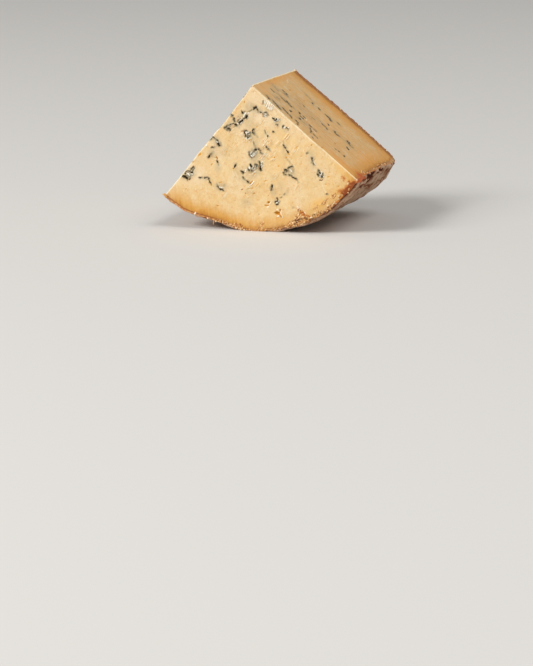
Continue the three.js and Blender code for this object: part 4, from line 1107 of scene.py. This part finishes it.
def scattered_crumbs(rng):
    """Centres, half sizes, turns and tones of the crumbs along the rims."""
    for count, degrees, depths, (least, most) in RIM_CRUMBS:
        under = least + (most - least) * rng.uniform(0, 1, count) ** 1.5
        centres = rim_points(rng.uniform(*degrees, count), rng.uniform(*depths, count), under)
        for centre in centres:
            half = rng.uniform(*CRUMB_HALF)
            size = half * rng.uniform(1.0, 2.0), half, half * 0.8
            sunk = centre + CRUMB_SINK * half * unit(MIDDLE - centre)
            yield sunk, size, rng.uniform(0, math.pi, 3), rng.uniform()


def placed_crumbs():
    for across, up, half_length, half_width, turn, tone in PLACED_CRUMBS:
        centre = weathered(np.array([[APEX_X + across, FRONT_Y, APEX_Z + up]]))[0][0]
        yield centre, (half_length, 0.8 * half_width, half_width), (0, -math.radians(turn), 0), tone


def crumbs_mesh():
    """All the crumbs as one set of points and triangles, and each point's tone."""
    ball = bmesh.new()
    bmesh.ops.create_icosphere(ball, subdivisions=2, radius=1)
    round_points = np.array([vertex.co for vertex in ball.verts])
    round_triangles = np.array([[vertex.index for vertex in face.verts] for face in ball.faces])
    ball.free()
    rng = np.random.default_rng(CRUMB_SEED)
    points, tones = [], []
    for centre, half, turn, tone in (*scattered_crumbs(rng), *placed_crumbs()):
        uneven = round_points * (1 + 0.3 * noise(round_points + 3 * centre, 0.9, 71))[:, None] * half
        points.append(centre + uneven @ np.array(Euler(turn).to_matrix()).T)
        tones.append(np.full(len(round_points), tone))
    first = np.arange(len(points)) * len(round_points)
    triangles = (first[:, None, None] + round_triangles).reshape(-1, 3)
    points = np.concatenate(points)
    points[:, 2] = np.maximum(points[:, 2], 0)
    return points, triangles, {"tone": np.concatenate(tones)}


# ---- Shaders ----
class Value:
    """A number, a colour or a place worked out in a material."""

    def __init__(self, shader, socket):
        self.shader = shader
        self.socket = socket

    def __add__(self, other):
        return self.shader.math("ADD", self, other)

    def __sub__(self, other):
        return self.shader.math("SUBTRACT", self, other)

    def __mul__(self, other):
        return self.shader.math("MULTIPLY", self, other)

    def step(self, low, high, start=0.0, end=1.0):
        """Goes smoothly from start to end as this value goes from low to high."""
        node = self.shader.nodes.new("ShaderNodeMapRange")
        node.interpolation_type = "SMOOTHSTEP"
        inputs = {"Value": self, "From Min": low, "From Max": high, "To Min": start, "To Max": end}
        return self.shader.fed(node, inputs, "Result")

    def mix(self, over, amount):
        return self.shader.mix(self, over, amount)


class Shader:
    """A node material built up from colours, fields and noises."""

    def __init__(self, name):
        self.material = bpy.data.materials.new(name)
        self.material.use_nodes = True
        self.nodes = self.material.node_tree.nodes
        self.place = self.fed(self.nodes.new("ShaderNodeTexCoord"), {}, "Object")

    def fed(self, node, inputs, output):
        """Links values to a node's inputs, sets its other inputs, and gives one of its outputs."""
        for name, source in inputs.items():
            if isinstance(source, Value):
                self.material.node_tree.links.new(source.socket, node.inputs[name])
            else:
                node.inputs[name].default_value = source
        return Value(self, node.outputs[output])

    def field(self, name):
        node = self.nodes.new("ShaderNodeAttribute")
        node.attribute_name = name
        return self.fed(node, {}, "Fac")

    def math(self, operation, first, second):
        node = self.nodes.new("ShaderNodeMath")
        node.operation = operation
        return self.fed(node, {0: first, 1: second}, 0)

    def noise(self, size, detail, place=None, offset=0):
        """Noise around 0.5 with grains of a size in millimetres."""
        node = self.nodes.new("ShaderNodeTexNoise")
        node.noise_dimensions = "4D"
        inputs = {"Vector": place or self.place, "W": offset, "Scale": 1 / (size * MM)}
        return self.fed(node, inputs | {"Detail": detail, "Roughness": 0.6}, "Fac")

    def wander(self, size, amount, offset):
        """Noise around 0 that moves an edge by up to about an amount in millimetres."""
        return (self.noise(size, 2, offset=offset) - 0.5) * (3 * amount)

    def drawn_out(self, turn, length):
        """The place in a frame turned about Y and stretched along its X."""
        node = self.nodes.new("ShaderNodeMapping")
        node.vector_type = "TEXTURE"
        inputs = {"Vector": self.place, "Rotation": (0, math.radians(turn), 0), "Scale": (length, 1, 1)}
        return self.fed(node, inputs, "Vector")

    def mix(self, colour, over, amount):
        node = self.nodes.new("ShaderNodeMix")
        node.data_type = "RGBA"
        return self.fed(node, {"Factor": amount, 6: colour, 7: over}, 2)

    def bump(self, height, distance, normal=None):
        """The surface's normals over a height, laid over other normals if any are given."""
        inputs = {"Strength": 1, "Distance": distance * MM, "Height": height}
        if normal:
            inputs["Normal"] = normal
        return self.fed(self.nodes.new("ShaderNodeBump"), inputs, "Normal")

    def finished(self, inputs):
        """The material, once the inputs of its surface are fed."""
        self.fed(self.nodes["Principled BSDF"], inputs, 0)
        return self.material


def paste_colour(shader):
    """Cream curd: broad and middling warm and pale patches, fine mottling and a few small smears."""
    falls = shader.drawn_out(FALLS, 2.6)
    middling = shader.noise(5, 2, offset=4).step(0.42, 0.64)
    colour = shader.mix(PASTE, PASTE_WARM, shader.noise(13, 2).step(0.38, 0.66) * 0.4)
    colour = colour.mix(PASTE_WARM, middling * 0.4)
    colour = colour.mix(PASTE_PALE, shader.noise(8, 2, offset=2).step(0.48, 0.66) * 0.35)
    colour = colour.mix(PASTE_WARM, shader.noise(2, 2, offset=3).step(0.45, 0.68) * 0.35)
    colour = colour.mix(PASTE_PALE, shader.noise(0.9, 1, falls, 5).step(0.6, 0.74) * 0.7)
    colour = colour.mix(PASTE_WARM, shader.noise(0.8, 2, falls, 6).step(0.58, 0.74) * 0.6)
    return colour.mix(PASTE_CREAM, shader.field("light") * middling.step(0, 1, 0.9, 0.55))


def with_drags(shader, colour):
    """The right cut: tanner, with blotches and thin parallel streaks down to the rind."""
    drags = shader.drawn_out(RIGHT_TURN, 26)
    blotch = shader.noise(4.4, 3, offset=18).step(0.5, 0.66, 0, 0.55)
    streaked = shader.field("under").step(3, 14, 0.1, 0.35)
    pale = shader.noise(0.8, 2, drags, 9).step(0.54, 0.7) * streaked
    dark = shader.noise(1, 2, drags, 10).step(0.56, 0.7) * streaked
    dragged = colour.mix(DRAGGED_PASTE, 0.75).mix(PASTE_CREAM, blotch).mix(PASTE_PALE, pale)
    return colour.mix(dragged.mix(UNDER_RIND, dark), shader.field("dragged"))


def with_rim_bands(shader, colour):
    """Paste that turns ochre towards the rind, then a brown line, then the rind's pale salmon edge."""
    under, band = shader.field("under"), shader.field("band")
    back, dragged = shader.field("back"), shader.field("dragged")
    streaks = shader.noise(1.6, 2, shader.drawn_out(RIND_STREAKS, 9), 26)
    depth = under + shader.wander(9, 1.6, 7) + (streaks - 0.5) * 7
    colour = colour.mix(shader.mix(GOLD, RIGHT_GLOW, dragged), shader.field("gold") * 0.9)
    colour = colour.mix(shader.mix(OCHRE, RIGHT_OCHRE, dragged), band * depth.step(13, 4, 0, 0.8))
    colour = colour.mix(DEEP_OCHRE, band * depth.step(5.5, 1.5, 0, 0.8))
    edge = under + back.step(0, 0.3) * 0.7 + shader.wander(1.6, 0.4, 8)
    colour = colour.mix(UNDER_RIND, edge.step(2.5, 1.8, 0, 0.85))
    spots = shader.noise(1.1, 2, offset=25)
    rind_edge = shader.mix(RIND_EDGE, CRUMB_PALE, spots.step(0.54, 0.62, 0, 0.8))
    # Dark brown dots on the rind's edge: painted shade between its crumbs
    rind_edge = rind_edge.mix(BROWN_CRUMB_AND_GAP_SHADE, spots.step(0.46, 0.4, 0, 0.8))
    rind_edge = rind_edge.mix(BACK_EDGE, back.step(0, 0.4, 0, 0.8))
    return colour.mix(rind_edge, edge.step(1.5, 1.1, 0, 0.9))


def with_veins(shader, colour, fine, flecks):
    """Grey clouds and smudges, torn curd flecked dark and white, veins with soft halos, pale lips partly
    painted highlight.
    """
    dragged, torn, bitten = shader.field("dragged"), shader.field("torn"), (flecks - 0.5) * 2
    cloud = shader.field("cloud") * shader.noise(1.7, 2, offset=11).step(0.3, 0.62, 0.7, 1.2)
    colour = colour.mix(CLOUD, cloud * dragged.step(0, 1, 1, 0.75))
    smudge = shader.field("smudge") + shader.wander(1.3, 0.5, 13)
    colour = colour.mix(HALO, smudge.step(-0.8, 0.6, 0, 0.6))
    spread = shader.field("vein") + shader.wander(1.9, 0.7, 13)
    colour = colour.mix(HALO, spread.step(-1.1, 0.2, 0, 0.6))
    colour = colour.mix(OLIVE, (shader.field("olive") + fine).step(-0.6, 0.3, 0, 0.7))
    colour = colour.mix(TORN_GREY, torn.step(0, 0.6, 0, 0.4))
    edge, lifted = torn.step(0.02, 0.2), torn * 0.14
    # White on the raised flecks of torn curd, partly a painted highlight
    colour = colour.mix(PALE_CURD_AND_HIGHLIGHT, edge * (flecks + lifted).step(0.67, 0.73, 0, 0.9))
    colour = colour.mix(VEIN, edge * (flecks - lifted).step(0.34, 0.28, 0, 0.8))
    vein = shader.field("vein") + fine + bitten
    dark = dragged.step(0, 1, 0.95, 0.9)
    colour = colour.mix(VEIN, vein.step(-0.12, 0.15) * dark)
    colour = colour.mix(HOLE, vein.step(0.26, 0.5) * dark)
    # Pale lips and flecks, partly a painted highlight
    pale = shader.field("pale") + fine + bitten * 0.5
    return colour.mix(PALE_CURD_AND_HIGHLIGHT, pale.step(-0.35, 0) * dragged.step(0, 1, 0.82, 0.45))


def with_dragged_specks(shader, colour):
    """Thin dark dashes that the knife drew out of the mould on the right cut."""
    cloud = shader.field("dragged") * shader.field("cloud")
    level = shader.noise(0.75, 2, shader.drawn_out(RIGHT_TURN, 7), 19) + cloud * 0.22
    here = cloud.step(0.05, 0.2)
    colour = colour.mix(HALO, here * level.step(0.62, 0.72, 0, 0.6))
    return colour.mix(VEIN, here * level.step(0.69, 0.76, 0, 0.8))


def with_crumbs(shader, colour):
    """Crumbled curd by the rind: pale, ochre and brown grains, the brown partly painted shade between the
    lumps.
    """
    grains = shader.noise(0.8, 2, shader.drawn_out(-TEAR_TURN, 2), 16)
    crumbs = shader.mix(BROWN_CRUMB_AND_GAP_SHADE, CRUMB_OCHRE, grains.step(0.42, 0.48))
    crumbs = crumbs.mix(CRUMB_PALE, grains.step(0.52, 0.6))
    ragged = shader.field("crumb") + shader.wander(1.3, 0.3, 17)
    return colour.mix(crumbs, ragged.step(0.2, 0.5, 0, 0.9))


def with_flaws(shader, colour, fine, strokes):
    """Scratches in amber and white, partly painted shade and highlight, freckles and dents in amber, and
    brown lines.
    """
    scratch = (strokes - 0.5) * shader.field("hatch")
    # Amber in the low strokes and white on the raised ones, partly painted shade and highlight
    colour = colour.mix(AMBER, scratch.step(-0.02, -0.06, 0, 0.75))
    colour = colour.mix(PALE_CURD_AND_HIGHLIGHT, scratch.step(0.02, 0.07, 0, 0.6))
    colour = colour.mix(PASTE_PALE, (shader.field("scored") + fine).step(-0.3, 0.2, 0, 0.7))
    colour = colour.mix(AMBER, (shader.field("amber") + fine).step(-0.2, 0.15, 0, 0.97))
    colour = colour.mix(BROWN, (shader.field("brown") + fine).step(-0.25, 0.15, 0, 0.85))
    return colour.mix(AMBER, (shader.field("dent") + fine).step(0, 0.4, 0, 0.6))


def with_red_corner(shader, colour, fine):
    """The torn corner: orange at its edges, red-brown inside, with pale lumps left in it."""
    dragged = shader.field("dragged")
    red = shader.field("red") + fine * 0.7 + shader.wander(1.8, 0.2, 24)
    lumps = shader.noise(1.7, 1, offset=20).step(0.62, 0.7, 0, 0.6)
    colour = colour.mix(shader.mix(SOFT_RED, RIGHT_SALMON, dragged), red.step(0, 0.35, 0, 0.85))
    colour = colour.mix(shader.mix(RED_BROWN, RIGHT_RED_LIP, dragged), red.step(0.25, 0.65, 0, 0.9))
    return colour.mix(RIND_EDGE, lumps * red.step(0.1, 0.3, 0, 0.8))


def with_arris_highlights(shader, colour):
    """Painted highlights: pale arrises between the cuts and a pale apex arris."""
    arris = shader.mix(ARRIS_HIGHLIGHT, RIGHT_ARRIS_HIGHLIGHT, shader.field("dragged"))
    colour = colour.mix(arris, shader.field("edge") * 0.9)
    return colour.mix(APEX_ARRIS_HIGHLIGHT, shader.field("apex").step(0.3, 0.7, 0, 0.9))


def rind_colour(shader):
    """Dusty pink bloom over brown, rusty patches, painted shade in grooves and hollows, stains with painted
    shadow, pores.
    """
    flat = shader.field("flat")
    grain = shader.noise(0.9, 3, offset=21)
    rough = grain - 0.5
    fold = shader.field("fold") + rough * 1.1
    colour = shader.mix(RIND_TAN, RIND_DUST, (fold + flat * 0.35).step(-0.2, 0.6))
    patch = shader.noise(7, 3, offset=22)
    colour = colour.mix(RIND_RUST, patch.step(0.5, 0.66) * flat.step(0, 1, 0.75, 0.28))
    bloom = shader.noise(18, 2, offset=23) + grain * 0.4
    colour = colour.mix(RIND_DUST, bloom.step(0.66, 0.9, 0, 0.7))
    # Painted shade in the deepest grooves of the folds
    colour = colour.mix(RIND_GROOVE_SHADE, fold.step(-0.4, -1, 0, 0.9))
    # Brown stains, painted shadow under the front arris and painted shade in the hollows
    stain_and_shadow = shader.field("stain_and_shadow") + rough * 0.7
    colour = colour.mix(RIND_RUST, stain_and_shadow.step(0.05, 0.3, 0, 0.75))
    colour = colour.mix(HOLLOW_AND_SHADOW_BROWN, stain_and_shadow.step(0.25, 0.8, 0, 0.92))
    colour = colour.mix(RIND_LIP_RED, shader.field("lip").step(0.2, 0.6, 0, 0.95))
    pore = shader.field("pore") + rough * 0.8
    colour = colour.mix(RIND_RUST, pore.step(-1.3, -0.2, 0, 0.7))
    return colour.mix(PORE, pore.step(-0.2, 0.15, 0, 0.95))


def cheese_material():
    """The whole cheese: paste with its marks inside, the rind's colour where the skin is the outside."""
    shader = Shader("blue_cheese")
    strokes = shader.noise(0.5, 1, shader.drawn_out(-TEAR_TURN, 8), 43)
    torn_flecks = shader.noise(0.7, 1, shader.drawn_out(-TEAR_TURN, 1.7), 44)
    drawn_flecks = shader.noise(0.7, 1, shader.drawn_out(RIGHT_TURN, 4), 45)
    flecks = torn_flecks + shader.field("dragged") * (drawn_flecks - torn_flecks)
    fine = shader.wander(0.8, 0.26, 12) + shader.wander(0.5, 0.12, 14)
    paste = with_rim_bands(shader, with_drags(shader, paste_colour(shader)))
    paste = with_dragged_specks(shader, with_veins(shader, paste, fine, flecks))
    paste = with_flaws(shader, with_crumbs(shader, paste), fine, strokes)
    paste = with_arris_highlights(shader, with_red_corner(shader, paste, fine))
    outside = (shader.field("under") + shader.wander(1.2, 0.4, 31)).step(0.5, 0.1)
    grain = shader.bump(shader.noise(0.9, 3, offset=41), 0.16)
    scratches = strokes * shader.field("hatch") + flecks * shader.field("torn")
    return shader.finished({
        "Base Color": paste.mix(rind_colour(shader), outside),
        "Roughness": outside.step(0, 1, 0.5, 0.85),
        "Specular IOR Level": 0.3,
        "Subsurface Weight": 0.06,
        "Subsurface Radius": (1.0, 0.75, 0.45),
        "Subsurface Scale": 1.0 * MM,
        "Normal": shader.bump(scratches, 0.9, grain),
    })


def crumb_material():
    shader = Shader("crumbs")
    grain = shader.field("tone") + shader.wander(0.7, 0.15, 61)
    colour = shader.mix(BROWN_CRUMB_AND_GAP_SHADE, CRUMB_OCHRE, grain.step(0.05, 0.35))
    colour = colour.mix(CRUMB_PALE, grain.step(0.5, 0.8)).mix(PALE_CURD_AND_HIGHLIGHT, grain.step(0.85, 1, 0, 0.6))
    return shader.finished({"Base Color": colour, "Roughness": 0.6, "Specular IOR Level": 0.3})


# ---- The pieces ----
def dress(piece, material):
    """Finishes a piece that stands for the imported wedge."""
    piece.data.polygons.foreach_set("use_smooth", np.ones(len(piece.data.polygons), dtype=bool))
    piece.data.materials.append(material)
    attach(piece, "root")
    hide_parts(NODE)


def make_wedge():
    points, triangles, fields = wedge_skin()
    del fields["pit"]
    spared = np.max([fields[name] for name in SPARED], axis=0) > SPARED_REACH
    piece = mesh_object("wedge_skin", points, triangles, fields)
    decimate(piece, KEPT_TRIANGLES, spared)
    dress(piece, cheese_material())


def make_crumbs():
    dress(mesh_object("rim_crumbs", *crumbs_mesh()), crumb_material())


def make_camera():
    data = bpy.data.cameras.new("camera")
    data.lens = LENS
    data.sensor_width = SENSOR
    data.clip_end = 50
    camera = bpy.data.objects.new("camera", data)
    camera.location = CAMERA_PLACE
    camera.rotation_euler = (math.radians(90 - CAMERA_ELEVATION), 0, math.radians(CAMERA_AZIMUTH))
    bpy.context.scene.collection.objects.link(camera)
    bpy.context.scene.camera = camera


def make_light(name, way, distance, size, power):
    data = bpy.data.lights.new(name, "AREA")
    data.size = size
    data.energy = power
    light = bpy.data.objects.new(name, data)
    light.location = AIM + distance * Vector(way).normalized()
    light.rotation_euler = Vector(way).to_track_quat("Z", "Y").to_euler()
    bpy.context.scene.collection.objects.link(light)


def make_floor():
    half = FLOOR_SIZE / 2
    mesh = bpy.data.meshes.new("floor")
    corners = [(-half, -half, 0), (half, -half, 0), (half, half, 0), (-half, half, 0)]
    mesh.from_pydata(corners, [], [(0, 1, 2, 3)])
    mesh.materials.append(Shader("pale_floor").finished({"Base Color": FLOOR, "Roughness": 0.9}))
    floor = bpy.data.objects.new("floor", mesh)
    bpy.context.scene.collection.objects.link(floor)


def make_world():
    world = bpy.data.worlds.new("studio")
    world.use_nodes = True
    background = world.node_tree.nodes["Background"]
    background.inputs["Color"].default_value = (1, 1, 1, 1)
    background.inputs["Strength"].default_value = WORLD_LIGHT
    bpy.context.scene.world = world


make_camera()
make_world()
for light in LIGHTS:
    make_light(*light)
make_floor()
make_wedge()
make_crumbs()
bpy.context.scene.view_settings.view_transform = "Standard"
